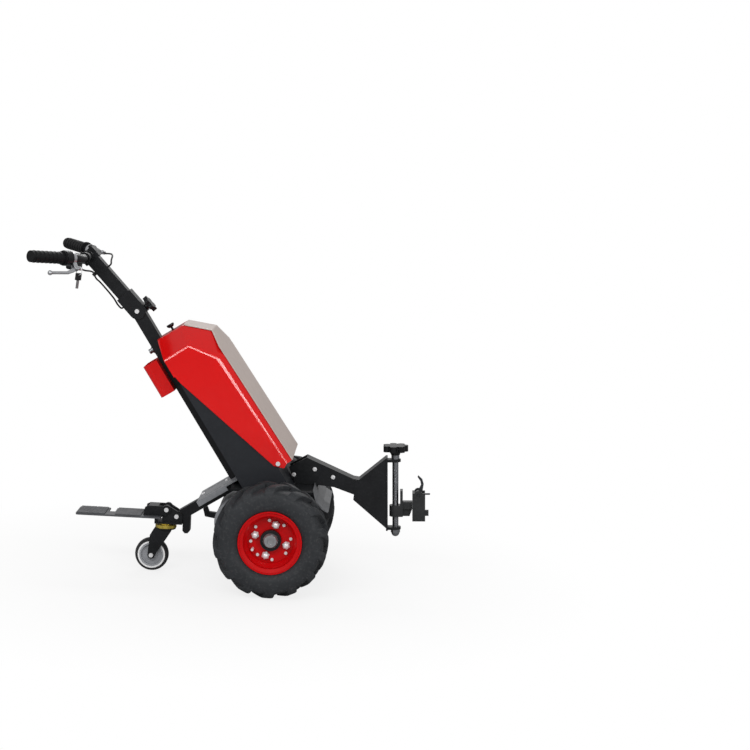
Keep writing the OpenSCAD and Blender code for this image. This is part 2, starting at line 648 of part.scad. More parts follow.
// Bolts of the frame: deck, drawbar, arm, step hinge, hood hinge and handle pivot
module frame_bolts() color("silver") {
    body_frame() {
        for (t = deck_bolts_at) translate([t, 0, deck_low + deck_t + gap]) bolt(deck_t + gap);
        translate([hood_hinge.x, 0, hood_hinge.y])
            both_sides(body_w / 2 + gap - (hood_wall + box_wall) / 2 + bolt_head_h / 2)
            rod_y(bolt_d, hood_wall + box_wall + bolt_head_h);
        translate([hood_hinge.x, 0, hood_hinge.y]) both_sides(body_w / 2 + gap + bolt_head_h / 2)
            rod_y(bolt_head_d, bolt_head_h);
        translate([column_mid, 0, pivot_up]) cross_bolt(bolt_d, tube_w / 2 + gap + plate_t);
    }
    at_axle() {
        translate([hinge_at.x, 0, hinge_at.y]) cross_bolt(bolt_d, step_ear_y + plate_t / 2);
        translate([bracket_bolt_at.x, 0, bracket_bolt_at.y]) cross_bolt(bolt_d, ear_y + plate_t / 2);
        for (p = drawbar_bolts_at, side = [-1, 1]) translate([p.x, side * (drawbar_w / 2 + gap), p.y])
            rotate([-side * 90, 0, 0]) bolt(plate_t + gap);
    }
}

// Battery box: leaned sheet walls, a level floor and a sloping rim
box_half = body_w / 2 - hood_wall - over;
front_wall = rear_wall + box_depth;
box_floor = frame_top + gap;
hood_rear = -15;
hood_size = [hood_depth, hood_len];
hood_corner = [hood_rear, hood_base];
hinge_share = [0.776, 0.038];
hood_hinge = outline([hinge_share], hood_size, hood_corner)[0];
// Rim of the box: share of the box depth, share of the hood length
rim_shares = [[0, 0.755], [0.25, 0.755], [1, 0.27]];
shelf_up = 182;
hinge_ear_r = 13;
function wall_foot(t) = (box_floor - t * cos(lean)) / sin(lean);
function box_points(inset, lift) = concat(
    [[rear_wall + inset, wall_foot(rear_wall + inset) + inset]],
    [for (c = rim_shares) [rear_wall + inset + (box_depth - 2 * inset) * c[0],
        hood_base + hood_len * c[1] + lift]],
    [[front_wall - inset, wall_foot(front_wall - inset) + inset]]);
module battery_box() color([0.13, 0.14, 0.15]) body_frame() difference() {
    union() {
        difference() {
            side_plate(2 * box_half) polygon(box_points(0, 0));
            side_plate(2 * (box_half - box_wall)) polygon(box_points(box_wall, hood_len));
            side_plate(2 * (box_half - box_wall)) polygon(box_points(box_wall, over));
        }
        box([rear_wall + box_wall / 2, front_wall - box_wall / 2], [-box_half + over, box_half - over],
            [shelf_up, shelf_up + box_wall]);
        both_sides(box_half - box_wall / 2) side_plate(box_wall) {
            translate(hood_hinge) circle(r = hinge_ear_r, $fn = round_fn);
            polygon([[front_wall - hinge_ear_r, hood_hinge.y - hinge_ear_r],
                [hood_hinge.x, hood_hinge.y - hinge_ear_r],
                [hood_hinge.x, hood_hinge.y + hinge_ear_r],
                    [front_wall - hinge_ear_r, hood_hinge.y + 3 * hinge_ear_r]]);
        }
    }
    translate([hood_hinge.x, 0, hood_hinge.y]) rod_y(bolt_d + 2 * run_gap, 2 * body_w);
}
battery_size = [98, 180];
battery_side = 4;
pole_d = 14;
pole_h = 9;
battery_half = (box_half - box_wall - 2 * battery_side) / 2;
battery_low = shelf_up + box_wall + gap;
battery_rear = rear_wall + box_wall + gap;
module batteries() color([0.2, 0.2, 0.22]) body_frame() both_sides(battery_half + battery_side) {
    box([battery_rear, battery_rear + battery_size.x], [-battery_half, battery_half],
        [battery_low, battery_low + battery_size.y]);
    both_sides(battery_half / 2) translate([battery_rear + battery_size.x / 2, 0,
        battery_low + battery_size.y])
        rod(pole_d, pole_h);
}
controller_size = [30, 124, 120];
controller_base = 6;
fin_count = 8;
controller_low = battery_low + battery_size.y + pole_h + controller_base;
module controller() color([0.45, 0.46, 0.47]) body_frame() {
    pitch = controller_size.y / fin_count;
    box([battery_rear, battery_rear + controller_base], [-controller_size.y / 2, controller_size.y / 2],
        [controller_low, controller_low + controller_size.z]);
    for (i = [0:fin_count - 1]) translate([0, (i + 0.5) * pitch - controller_size.y / 2, 0])
        box([battery_rear, battery_rear + controller_size.x], [-pitch / 4, pitch / 4],
            [controller_low + controller_base, controller_low + controller_size.z - controller_base]);
}
deck_top = deck_low + deck_t;
module square_tube(low, high) difference() {
    box([-tube_w / 2, tube_w / 2], [-tube_w / 2, tube_w / 2], [low, high]);
    box([-tube_w / 2 + tube_wall, tube_w / 2 - tube_wall], [-tube_w / 2 + tube_wall, tube_w / 2 - tube_wall],
        [low - over, high + over]);
}
module column() color([0.08, 0.08, 0.09]) body_frame() translate([column_mid, 0, 0]) difference() {
    union() {
        square_tube(deck_top + gap, pivot_up);
        translate([0, 0, pivot_up]) rod_y(tube_w, tube_w);
    }
    translate([0, 0, pivot_up]) rod_y(bolt_d + 2 * run_gap, 2 * tube_w);
}
pocket_depth = 47;
pocket_low = 496;
pocket_h = 104;
pocket_w = 120;
pocket_wall = 4;
pocket_r = 20;
pocket_front = rear_wall - 2 * gap - tube_w;
module rear_pocket() color([0.78, 0.06, 0.05]) body_frame() {
    rear = pocket_front - pocket_depth;
    difference() {
        union() {
            box([rear + pocket_r, pocket_front], [-pocket_w / 2, pocket_w / 2],
                [pocket_low, pocket_low + pocket_h]);
            box([rear, pocket_front], [-pocket_w / 2 + pocket_r, pocket_w / 2 - pocket_r],
                [pocket_low, pocket_low + pocket_h]);
            both_sides(pocket_w / 2 - pocket_r) translate([rear + pocket_r, 0, pocket_low])
                rod(2 * pocket_r, pocket_h);
        }
        box([rear + pocket_wall, pocket_front - pocket_wall],
            [-pocket_w / 2 + pocket_r, pocket_w / 2 - pocket_r],
                [pocket_low + pocket_wall, pocket_low + pocket_h + over]);
        box([rear + pocket_r, pocket_front - pocket_wall],
            [-pocket_w / 2 + pocket_wall, pocket_w / 2 - pocket_wall],
            [pocket_low + pocket_wall, pocket_low + pocket_h + over]);
        both_sides(pocket_w / 2 - pocket_r) translate([rear + pocket_r, 0, pocket_low + pocket_wall])
            rod(2 * (pocket_r - pocket_wall), pocket_h);
    }
}
socket_up = 628;
socket_flange_d = 22;
socket_flange_t = 4;
socket_d = 15;
socket_len = 15;
module charge_socket() color("silver") body_frame() translate([pocket_front, 0, socket_up])
    rotate([0, -90, 0])
    difference() {
        union() {
            rod(socket_flange_d, socket_flange_t);
            rod(socket_d, socket_len);
        }
        translate([0, 0, socket_flange_t]) rod(socket_d - socket_flange_t, socket_len);
    }

// Hood: hull of three profiles, hollow, cut along its lower edge
crown_half = 68;
front_draw = 12;
front_half = body_w / 2 - front_draw;
// Side face, crown and front face: shares of the hood depth and length
side_shares = [[0, -0.03], [0.896, -0.03], [0.896, 0.023], [0.809, 0.745], [0.494, 0.889], [0, 0.885]];
crown_shares = [[0.006, 0], [0.9, 0], [0.894, 0.888], [0.512, 1], [0.006, 0.999]];
front_shares = [[0.9, 0], [1, 0], [0.922, 0.74], [0.9, 0.7]];
edge_shares = [[-0.1, -0.2], [-0.1, 0.77], [-0.02, 0.77], [0.02, 0.77], [0.05, 0.719], [0.696, 0.037],
    [0.824, -0.003], [0.9, 0.012], [1.2, 0.012], [1.2, -0.2]];
module hood_slab(shares, inset) offset(delta = -inset) polygon(outline(shares, hood_size, hood_corner));
module hood_solid(inset) hull() {
    side_plate(body_w - 2 * inset) hood_slab(side_shares, inset);
    side_plate(2 * crown_half - inset) hood_slab(crown_shares, inset);
    side_plate(2 * front_half - 2 * inset) hood_slab(front_shares, inset);
}
module below_hood() side_plate(2 * body_w) polygon(outline(edge_shares, hood_size, hood_corner));
latch_depth = 30;
latch_stem_d = 7;
latch_up = hood_base + hood_len;
module hood() color([0.80, 0.08, 0.07]) body_frame() difference() {
    hood_solid(0);
    hood_solid(hood_wall);
    below_hood();
    box([hood_rear - over, rear_wall + over], [-tube_w / 2 - over, tube_w / 2 + over], [hood_base, pivot_up]);
    translate([hood_hinge.x, 0, hood_hinge.y]) rod_y(bolt_d + 2 * run_gap, 2 * body_w);
    translate([latch_depth, 0, latch_up - 2 * hood_wall]) rod(latch_stem_d + 2 * gap, 4 * hood_wall);
}
panel_t = 2;
panel_in = 2;
// Light panel laid over the crown's slope and the front face, set in from their edges
panel_cut_shares = [[-0.3, -0.3], [-0.3, 1.3], [0.53, 1.3], [0.53, 1], [0.85, 0.85], [0.9, 0.012], [1.3, 0.012],
    [1.3, -0.3]];
module hood_panel() color([0.72, 0.70, 0.67]) body_frame() difference() {
    hull() {
        side_plate(2 * (crown_half - panel_in)) hood_slab(crown_shares, -gap - panel_t);
        side_plate(2 * (front_half - panel_in)) hood_slab(front_shares, -gap - panel_t);
    }
    hull() {
        side_plate(2 * body_w) hood_slab(crown_shares, -gap);
        side_plate(2 * body_w) hood_slab(front_shares, -gap);
    }
    side_plate(2 * body_w) polygon(outline(panel_cut_shares, hood_size, hood_corner));
}
latch_d = 23;
latch_cap = 5;
latch_lift = 9;
module latch_knob() color([0.07, 0.07, 0.08]) body_frame() translate([latch_depth, 0, latch_up]) {
    translate([0, 0, -hood_wall - latch_lift]) rod(latch_stem_d, hood_wall + 2 * latch_lift);
    translate([0, 0, latch_lift]) cylinder(d1 = 2 * latch_stem_d, d2 = latch_d, h = latch_cap,
        $fn = round_fn);
    translate([0, 0, latch_lift + latch_cap]) rod(latch_d, latch_cap);
    translate([0, 0, -hood_wall - latch_lift - latch_cap]) rod(2 * latch_stem_d, latch_cap);
}

// Drawbar: two side plates, a top strip and the front plate with the screw ears
drawbar_rear = 52;
// Side plate along its top, along its belly, and its bolts: share of the reach, share of the frame's height
hump_shares = [[0.0886, 1.3889], [0.2371, 1.6349], [0.6371, 1.1825], [0.6857, 1.1667]];
belly_shares = [[0.6457, 0.6825], [0.6486, 0.8095], [0.48, 0.9603]];
drawbar_bolt_shares = [[0.1343, 1.2143], [0.3086, 1.3651], [0.4657, 1.1984]];
drawbar_size = [hitch_reach, frame_top];
drawbar_hump = outline(hump_shares, drawbar_size);
drawbar_belly = outline(belly_shares, drawbar_size);
drawbar_bolts_at = outline(drawbar_bolt_shares, drawbar_size);
end_x = -28;
ear_half = ear_gap / 2;
ear_t = 8;
front_lip = 6;
function hitch_point(x, z) = [hitch_reach + x * cos(hitch_lean) - z * sin(hitch_lean),
    hitch_z + x * sin(hitch_lean) + z * cos(hitch_lean)];
front_top = hitch_point(end_x, ear_half + ear_t + front_lip);
front_low = hitch_point(end_x, -ear_half);
drawbar_foot = frame_top + gap;
strip_t = 5;
module drawbar() color([0.08, 0.08, 0.09]) {
    at_axle() difference() {
        both_sides(drawbar_w / 2 - plate_t / 2) side_plate(plate_t)
            polygon(concat([[drawbar_rear, drawbar_foot]],
            drawbar_hump, [front_top, front_low], drawbar_belly, [[frame_front, drawbar_foot]]));
        for (p = drawbar_bolts_at) translate([p.x, 0, p.y]) rod_y(bolt_d + 2 * gap, 2 * drawbar_w);
    }
    at_axle() side_plate(drawbar_w - over) polygon(concat([for (i = [1:3]) drawbar_hump[i]],
        [front_top, front_top - [0, 2 * strip_t]], [for (i = [3:-1:1])
            drawbar_hump[i] - [strip_t / 2, strip_t]]));
    hitch_frame() {
        box([end_x, end_x + plate_t], [-drawbar_w / 2 - over, drawbar_w / 2 + over],
            [-ear_half - ear_t, ear_half + ear_t + front_lip]);
        for (z = [ear_half, -ear_half - ear_t]) difference() {
            union() {
                box([end_x + over, 0], [-screw_ear_d / 2, screw_ear_d / 2], [z, z + ear_t]);
                translate([0, 0, z]) rod(screw_ear_d, ear_t);
            }
            translate([0, 0, z - over]) rod(screw_d + 2 * run_gap, ear_t + 2 * over);
        }
    }
}
screw_ear_d = 32;
// Folded guard on the frame's front edge
guard_size = [48, 62];
guard_at = [frame_front + gap, 72];
guard_shares = [[0, 1], [0.25, 0.5], [0.625, 0.16], [1, 0]];
guard_t = 3;
guard_w = track - tyre_w - 4 * plate_t;
module front_guard() color([0.4, 0.41, 0.42]) at_axle() difference() {
    side_plate(guard_w) polygon(concat(outline(guard_shares, guard_size, guard_at),
        [for (i = [3:-1:0]) outline(guard_shares, guard_size, guard_at)[i] + [i == 0 ? 0 : -guard_t,
            i == 0 ? 0 : -guard_t]]));
    box([0, hitch_reach], [-drawbar_w / 2 - gap, drawbar_w / 2 + gap],
        [drawbar_foot - 2 * frame_plate, hitch_reach]);
}

// Handle: a square tube in a channel that straddles the column's round end
clevis_r = 24;
clevis_len = 62;
clevis_w = tube_w + 2 * gap + 2 * plate_t;
tube_low = 32;
clamp_half = 25;
clamp_w = 44;
module handle_tube() color([0.08, 0.08, 0.09]) handle_frame() difference() {
    union() {
        square_tube(tube_low, handle_len - bar_d / 2 - plate_t);
        box([-tube_w / 2, tube_w / 2], [-tube_w / 2, tube_w / 2], [tube_low, tube_low + plate_t]);
        both_sides(tube_w / 2 + gap + plate_t / 2) {
            side_plate(plate_t) translate([-clevis_r, 0]) square([2 * clevis_r, clevis_len]);
            rod_y(2 * clevis_r, plate_t);
        }
        box([tube_w / 2 + gap, clevis_r + gap], [-clevis_w / 2, clevis_w / 2],
            [-clevis_r + plate_t, clevis_len]);
        both_sides(tube_w / 2) box([-tube_w / 2 + tube_wall, tube_w / 2 - tube_wall], [-over, over],
            [tube_low + plate_t, clevis_len - plate_t]);
        box([-clamp_half, clamp_half], [-clamp_w / 2, clamp_w / 2],
            [handle_len - bar_d / 2 - plate_t, handle_len - gap / 2]);
    }
    rod_y(bolt_d + 2 * run_gap, 3 * tube_w);
    translate([0, 0, handle_len]) rod_y(bar_d + 2 * run_gap, 4 * tube_w);
    translate([tube_w / 2, 0, knob_at]) rod_x(knob_screw_d + 2 * gap, clevis_r);
}
clamp_bolt_d = 6;
clamp_head_share = 1.6;
clamp_bolt_at = (clamp_half + bar_d / 2) / 2 + gap;
module bar_clamp() color("silver") handle_frame() {
    difference() {
        box([-clamp_half, clamp_half], [-clamp_w / 2, clamp_w / 2],
            [handle_len + gap / 2, handle_len + bar_d / 2 + plate_t]);
        translate([0, 0, handle_len]) rod_y(bar_d + 2 * run_gap, 4 * tube_w);
    }
    for (x = [-clamp_bolt_at, clamp_bolt_at]) both_sides(clamp_w / 4)
        translate([x, 0, handle_len + bar_d / 2 + plate_t])
            cylinder(d = clamp_bolt_d * clamp_head_share, h = clamp_bolt_d, $fn = round_fn);
}
knob_at = -7;
knob_screw_d = 10;
star_d = 50;
star_h = 13;
star_neck_d = 18;
star_neck_h = 8;
core_lobe_share = 0.72;
lobe_share = 0.28;
module star(d, h, lobes) {
    rod(d * core_lobe_share, h);
    around(lobes, d * (1 - lobe_share) / 2) rod(d * lobe_share, h);
}
module star_knob() color([0.07, 0.07, 0.08]) handle_frame() translate([clevis_r + 2 * gap, 0, knob_at])
    rotate([0, 90, 0]) {
        translate([0, 0, -plate_t]) rod(knob_screw_d, plate_t + over);
        rod(star_neck_d, star_neck_h);
        translate([0, 0, star_neck_h]) star(star_d, star_h, 6);
    }
// Handlebar: a straight middle, two bends and the swept ends
module handlebar() color([0.08, 0.08, 0.09]) {
    bar_frame() rod_y(bar_d, bar_mid);
    for (side = [-1, 1]) {
        bar_frame() translate([-bend_r, side * bar_mid / 2, 0]) rotate([0, 0, side > 0 ? 0 : -grip_sweep])
            rotate_extrude(angle = grip_sweep, $fn = round_fn) translate([bend_r, 0])
                circle(d = bar_d - 2 * run_gap, $fn = fine_fn);
        grip_frame(side) translate([0, 0, -control_run]) rod(bar_d, control_run + grip_len - grip_cap - gap);
    }
}
grip_cap = 4;
grip_flange = 8;
grip_rib_h = 1;
grip_ribs = 7;
module grip_sleeve() difference() {
    union() {
        rod(grip_d, grip_len);
        rod(grip_d + grip_flange, plate_t);
        for (i = [1:grip_ribs]) translate([0, 0, i * grip_len / (grip_ribs + 1)])
            rod(grip_d + 2 * grip_rib_h, grip_len / grip_ribs / 4);
    }
    translate([0, 0, -over]) rod(bar_d + 2 * run_gap, grip_len - grip_cap + over);
}
module grip_left() color([0.06, 0.06, 0.06]) grip_frame(1) grip_sleeve();
module throttle_grip() color([0.06, 0.06, 0.06]) grip_frame(-1) grip_sleeve();
throttle_d = 44;
throttle_len = 22;
module throttle_body() color([0.07, 0.07, 0.08]) grip_frame(-1) difference() {
    union() {
        translate([0, 0, -throttle_len - gap]) rod(throttle_d, throttle_len);
        translate([0, 0, -throttle_len / 2 - gap]) rotate([0, -90, 0])
            rod(throttle_len - plate_t, throttle_d / 2 + plate_t);
    }
    translate([0, 0, -2 * throttle_len]) rod(bar_d + 2 * gap, 3 * throttle_len);
}
// Control box behind the bar, on two straps
control_size = [32, 86, 42];
control_in = 24;
control_stand = 3;
control_set = bar_d / 2 + control_stand;
control_drop = 38;
control_r = 6;
strap_t = 4;
strap_w = 14;
module control_box() color([0.09, 0.09, 0.10]) bar_frame() difference() {
    union() {
        translate([-control_set - control_size.x, -control_in - control_size.y / 2, -control_drop])
            side_plate(control_size.y) {
                translate([control_r, 0]) square([control_size.x - 2 * control_r, control_size.z]);
                translate([0, control_r]) square([control_size.x, control_size.z - 2 * control_r]);
                for (x = [control_r, control_size.x - control_r], z = [control_r, control_size.z - control_r])
                    translate([x, z]) circle(r = control_r, $fn = fine_fn);
            }
        for (y = [control_in + strap_w, control_in + control_size.y - strap_w]) translate([0, -y, 0]) {
            rod_y(bar_d + 2 * gap + 2 * strap_t, strap_w);
            box([-control_set - over, 0], [-strap_w / 2, strap_w / 2], [-bar_d / 2 - strap_t, -bar_d / 4]);
        }
    }
    rod_y(bar_d + 2 * gap, bar_mid * 2);
}
// Brake levers on their perches; the left one lies level, the right one is turned down
perch_w = 14;
perch_at = -throttle_len - 2 * gap - perch_w;
lever_off = 34;
lever_t = 6;
lever_pin_d = 5;
lever_drop = [48, 4];
barrel_d = 10;
barrel_len = 15;
perch_arm = 12;
module lever_frame(side) grip_frame(side) rotate([0, 0, side * lever_drop[side > 0 ? 1 : 0]])
    translate([0, 0, perch_at]) children();
module lever_perches() color("silver") for (side = [-1, 1]) lever_frame(side) difference() {
    union() {
        rod(bar_d + 2 * plate_t, perch_w);
        box([bar_d / 2 + over, lever_off + perch_arm / 2], [-perch_arm / 2, perch_arm / 2], [0, perch_w]);
        translate([lever_off, 0, -barrel_len]) rod(barrel_d, barrel_len + over);
    }
    translate([0, 0, -over]) rod(bar_d + 2 * run_gap, perch_w + 2 * over);
    box([lever_off - perch_arm, lever_off + perch_arm], [-lever_t / 2 - gap, lever_t / 2 + gap],
        [perch_w / 2 + over - perch_arm / 2, perch_w + over]);
    translate([lever_off, 0, perch_w / 2 + over]) rod_y(lever_pin_d + 2 * run_gap, 2 * perch_arm);
}
lever_tip_d = 14;
lever_tip_share = 0.82;
lever_size = [22, lever_len];
// Lever outline: share of its reach ahead of the pivot, share of its length
lever_shares = [[0.1, 0.02], [0.5, 0.07], [0.85, 0.32], [0.97, 1], [0.67, 1], [0.55, 0.38], [0.1, 0.15]];
module brake_lever(side) color([0.75, 0.76, 0.78]) lever_frame(side)
    translate([lever_off, 0, perch_w / 2 + over]) {
    side_plate(lever_t) polygon(outline(lever_shares, lever_size));
    rod_y(perch_arm - 2 * gap, lever_t);
    rod_y(lever_pin_d, perch_arm);
    translate([lever_size.x * lever_tip_share, 0, lever_len]) sphere(d = lever_tip_d, $fn = fine_fn);
}
// Brake cables, held along the bar and the handle tube, in places from the axle
cable_d = 5;
right_cable = [[-566, -153, 736], [-556, -130, 733], [-554, -90, 726], [-556, -50, 714], [-556, -20, 702],
    [-548, -2, 691], [-530, 0, 672], [-506, 0, 645], [-494, 0, 627], [-482, 0, 617], [-472, 0, 626]];
left_cable = [[-560, 158, 763], [-545, 130, 765], [-531, 90, 767], [-522, 50, 765], [-520, 20, 755],
    [-518, 2, 745], [-525, 0, 738]];
module brake_cables() color([0.06, 0.06, 0.06]) at_axle() {
    sweep(spline(right_cable, 3), cable_d, 8);
    sweep(spline(left_cable, 3), cable_d, 8);
}
clip_w = 10;
clip_t = 2;
clip_drop = 54;
clip_up = handle_len - clip_drop;
module cable_clips() color([0.06, 0.06, 0.06]) handle_frame() translate([-tube_w / 2 - gap, 0, clip_up])
    difference() {
    box([-cable_d - 4 * clip_t, 0], [-cable_d / 2 - clip_t, cable_d / 2 + clip_t], [0, clip_w]);
    box([-cable_d - 2 * clip_t, -clip_t], [-cable_d / 2 - gap, cable_d / 2 + gap], [-over, clip_w + over]);
}
// Two keys on a ring that hangs on the barrel of the right perch
ring_r = 12;
ring_wire = 2;
ring_drop = ring_r - ring_wire / 2 - barrel_d / 2 - gap;
key_head = [3, 20, 18];
key_blade = [2, 24, 6];
key_hole_d = 6;
key_sag = ring_wire / 2;
module key_place() lever_frame(-1) translate([lever_off, 0, -barrel_len / 2])
    rotate([0, 0, lever_drop[0]]) children();
module key_ring() color("silver") key_place() translate([0, -ring_drop, 0])
    rotate_extrude($fn = round_fn) translate([ring_r, 0]) circle(d = ring_wire, $fn = fine_fn);
module keys() color([0.06, 0.06, 0.06]) key_place() for (side = [-1, 1])
    translate([side * (key_head.x + gap) / 2, -ring_drop - ring_r - key_sag, 0]) difference() {
        union() {
            box([-key_head.x / 2, key_head.x / 2], [key_hole_d - key_head.y, key_hole_d],
                [-key_head.z / 2, key_head.z / 2]);
            box([-key_blade.x / 2, key_blade.x / 2],
                [key_hole_d - key_head.y - key_blade.y, key_hole_d - key_head.y + over],
                [-key_blade.z / 2, key_blade.z / 2]);
        }
        translate([-key_head.x, 0, 0]) rod_x(key_hole_d, 2 * key_head.x);
    }

// Hitch: a hand wheel turns the screw, which raises the carriage with its coupling
collar_h = 12;
wheel_hub_h = 11;
wheel_h = 18;
wheel_seat = 9;
module hitch_screw() color([0.5, 0.51, 0.52]) hitch_frame() {
    translate([0, 0, -ear_half - ear_t - nut_seat])
        rod(screw_d, ear_gap + 2 * ear_t + nut_seat + collar_h + wheel_seat);
    translate([0, 0, ear_half + ear_t + gap]) rod(screw_d + 2 * clip_t + 2 * over, collar_h - gap);
}
nut_d = 24;
nut_h = 9;
nut_seat = 6;
module hand_wheel() color([0.06, 0.06, 0.07]) hitch_frame()
    translate([0, 0, ear_half + ear_t + collar_h + gap])
    difference() {
        union() {
            cylinder(d1 = screw_d + ear_t, d2 = screw_d + 2 * ear_t, h = wheel_hub_h, $fn = round_fn);
            translate([0, 0, wheel_hub_h]) star(hand_wheel_d, wheel_h, 7);
        }
        translate([0, 0, -over]) rod(screw_d + 2 * run_gap, wheel_seat + over);
    }
module screw_nut() color("silver") hitch_frame() translate([0, 0, -ear_half - ear_t - gap]) mirror([0, 0, 1])
    difference() {
        dome_nut(nut_d, 2 * nut_h);
        translate([0, 0, -over]) rod(screw_d + 2 * run_gap, nut_seat + over);
    }
slide_z = [-66, -33];
slide_d = 36;
slide_plate_top = 12;
slide_reach = [21, 50];
slide_arm_z = [-44, -22];
module hitch_carriage() color([0.08, 0.08, 0.09]) hitch_frame() difference() {
    union() {
        translate([0, 0, slide_z[0]]) rod(slide_d, slide_z[1] - slide_z[0]);
        box([0, slide_reach[0] + over], [-slide_d / 2, slide_d / 2], slide_z);
        box([slide_reach[0] - ear_t + over, slide_reach[0] + over], [-slide_d / 2, slide_d / 2],
            [slide_z[1] - over, slide_plate_top]);
        box(slide_reach, [-slide_d / 2 + plate_t, slide_d / 2 - plate_t], slide_arm_z);
        side_plate(2 * plate_t) polygon([[slide_reach[0], slide_z[0]], [slide_reach[1] - ear_t, slide_z[0]],
            [slide_reach[1], slide_arm_z[0]], [slide_reach[0], slide_arm_z[0]]]);
    }
    translate([0, 0, slide_z[0] - over]) rod(screw_d + 2 * run_gap, slide_z[1] - slide_z[0] + 2 * over);
}
coupler_size = [38, 50, 84];
coupler_low = -78;
coupler_wall = 8;
coupler_rear = slide_reach[1] + gap;
hook_at = [68, 2];
hook_pin_d = 6;
hook_t = 10;
tab_size = [10, 8, 17];
coupler_half = coupler_size.y / 2;
module coupler() color([0.10, 0.10, 0.11]) hitch_frame() difference() {
    union() {
        box([coupler_rear, coupler_rear + coupler_size.x], [-coupler_half, coupler_half],
            [coupler_low, coupler_low + coupler_size.z]);
        translate([hook_at.x, 0, hook_at.y]) rod_y(3 * coupler_wall, coupler_size.y);
        translate([coupler_rear + coupler_size.x - over, -coupler_half, coupler_low + tab_size.z])
            cube(tab_size + [over, 0, 0]);
    }
    box([coupler_rear + coupler_wall, coupler_rear + 2 * coupler_size.x],
        [-coupler_half + coupler_wall, coupler_half - coupler_wall],
            [coupler_low + coupler_wall, coupler_size.z]);
    translate([hook_at.x, 0, hook_at.y]) rod_y(hook_pin_d + 2 * run_gap, 2 * coupler_size.y);
}
hook_size = [22, 64];
// Hook outline: shares of its width and height, from behind the pin
hook_shares = [[0, 0], [0.55, 0], [0.82, 0.22], [1, 0.6], [0.82, 0.82], [0.27, 1], [0.18, 0.94], [0.55, 0.75],
    [0.64, 0.56], [0.27, 0.31]];
module coupler_hook() color([0.30, 0.30, 0.31]) hitch_frame() {
    side_plate(hook_t) polygon(outline(hook_shares, hook_size,
        [hook_at.x - hook_t / 2 - over, hook_at.y - hook_t]));
    translate([hook_at.x, 0, hook_at.y]) {
        rod_y(2 * (hook_at.x - coupler_rear - coupler_wall - gap), hook_t);
        rod_y(hook_pin_d, coupler_size.y + 2 * plate_t);
    }
    translate([hook_at.x, 0, 0]) rod_x(pin_d, pin_tip - hook_at.x);
}

tyre(1);  // tyre_left
tyre(-1);  // tyre_right
rim(1);  // rim_left
rim(-1);  // rim_right
hub(1);  // hub_left
hub(-1);  // hub_right
wheel_nuts(1);  // wheel_nuts_left
wheel_nuts(-1);  // wheel_nuts_right
axle(1);  // axle_left
axle(-1);  // axle_right
transaxle();
drive_motor();
axle_bearings();
main_frame();
rear_arm();
arm_deck();
torque_link();
caster_bracket();
caster_race();
caster_fork();
caster_wheel();
caster_core();
caster_axle();
step_plate();
step_mats();
step_bracket();
frame_bolts();
battery_box();
batteries();
controller();
column();
rear_pocket();
charge_socket();
hood();
hood_panel();
latch_knob();
drawbar();
front_guard();
handle_tube();
star_knob();
handlebar();
bar_clamp();
control_box();
grip_left();
throttle_grip();
throttle_body();
lever_perches();
brake_lever(1);  // brake_lever_left
brake_lever(-1);  // brake_lever_right
brake_cables();
cable_clips();
key_ring();
keys();
hitch_screw();
hand_wheel();
screw_nut();
hitch_carriage();
coupler();
coupler_hook();
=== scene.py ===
"""Walk behind electric tug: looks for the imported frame."""
import json
import math

import bmesh
import bpy
from mathutils import Matrix, Vector


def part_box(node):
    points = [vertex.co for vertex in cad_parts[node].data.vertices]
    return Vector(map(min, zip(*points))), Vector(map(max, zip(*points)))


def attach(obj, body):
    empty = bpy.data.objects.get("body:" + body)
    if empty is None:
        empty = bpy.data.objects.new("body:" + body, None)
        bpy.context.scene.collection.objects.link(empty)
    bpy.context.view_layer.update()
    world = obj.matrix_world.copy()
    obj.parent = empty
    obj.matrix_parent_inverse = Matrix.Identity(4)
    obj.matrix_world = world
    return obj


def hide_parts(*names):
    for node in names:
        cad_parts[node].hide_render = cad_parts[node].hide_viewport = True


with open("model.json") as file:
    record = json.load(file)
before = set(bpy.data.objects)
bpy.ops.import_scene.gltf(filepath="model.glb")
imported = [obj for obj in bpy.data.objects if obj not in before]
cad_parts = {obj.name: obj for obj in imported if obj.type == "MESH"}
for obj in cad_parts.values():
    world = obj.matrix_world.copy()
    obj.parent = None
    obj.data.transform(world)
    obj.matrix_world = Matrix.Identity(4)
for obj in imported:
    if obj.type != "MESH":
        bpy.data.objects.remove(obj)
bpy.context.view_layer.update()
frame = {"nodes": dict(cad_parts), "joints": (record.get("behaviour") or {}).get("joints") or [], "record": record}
NODES = frame["nodes"]
JOINTS = {joint["name"]: joint for joint in frame["joints"]}
# The middle of the axle, in metres
AXLE = Vector(JOINTS["wheel_left_spin"]["pos_m"])


def at_axle(x, y, z):
    """A point given in millimetres from the middle of the axle."""
    return AXLE + Vector((x, y, z)) / 1000


# Camera
PHOTO_PX, LENS_PX = 750.0, 1812.0
# Where lines across the machine meet, in pixels from the middle of the photograph
MEET_X, MEET_Y = 28.0, -251.0
ROLL = math.radians(3.0)
CAMERA_AT = Vector((0.4438, -5.289, 1.3593))
SENSOR_MM = 36.0
FARTHEST = 60.0


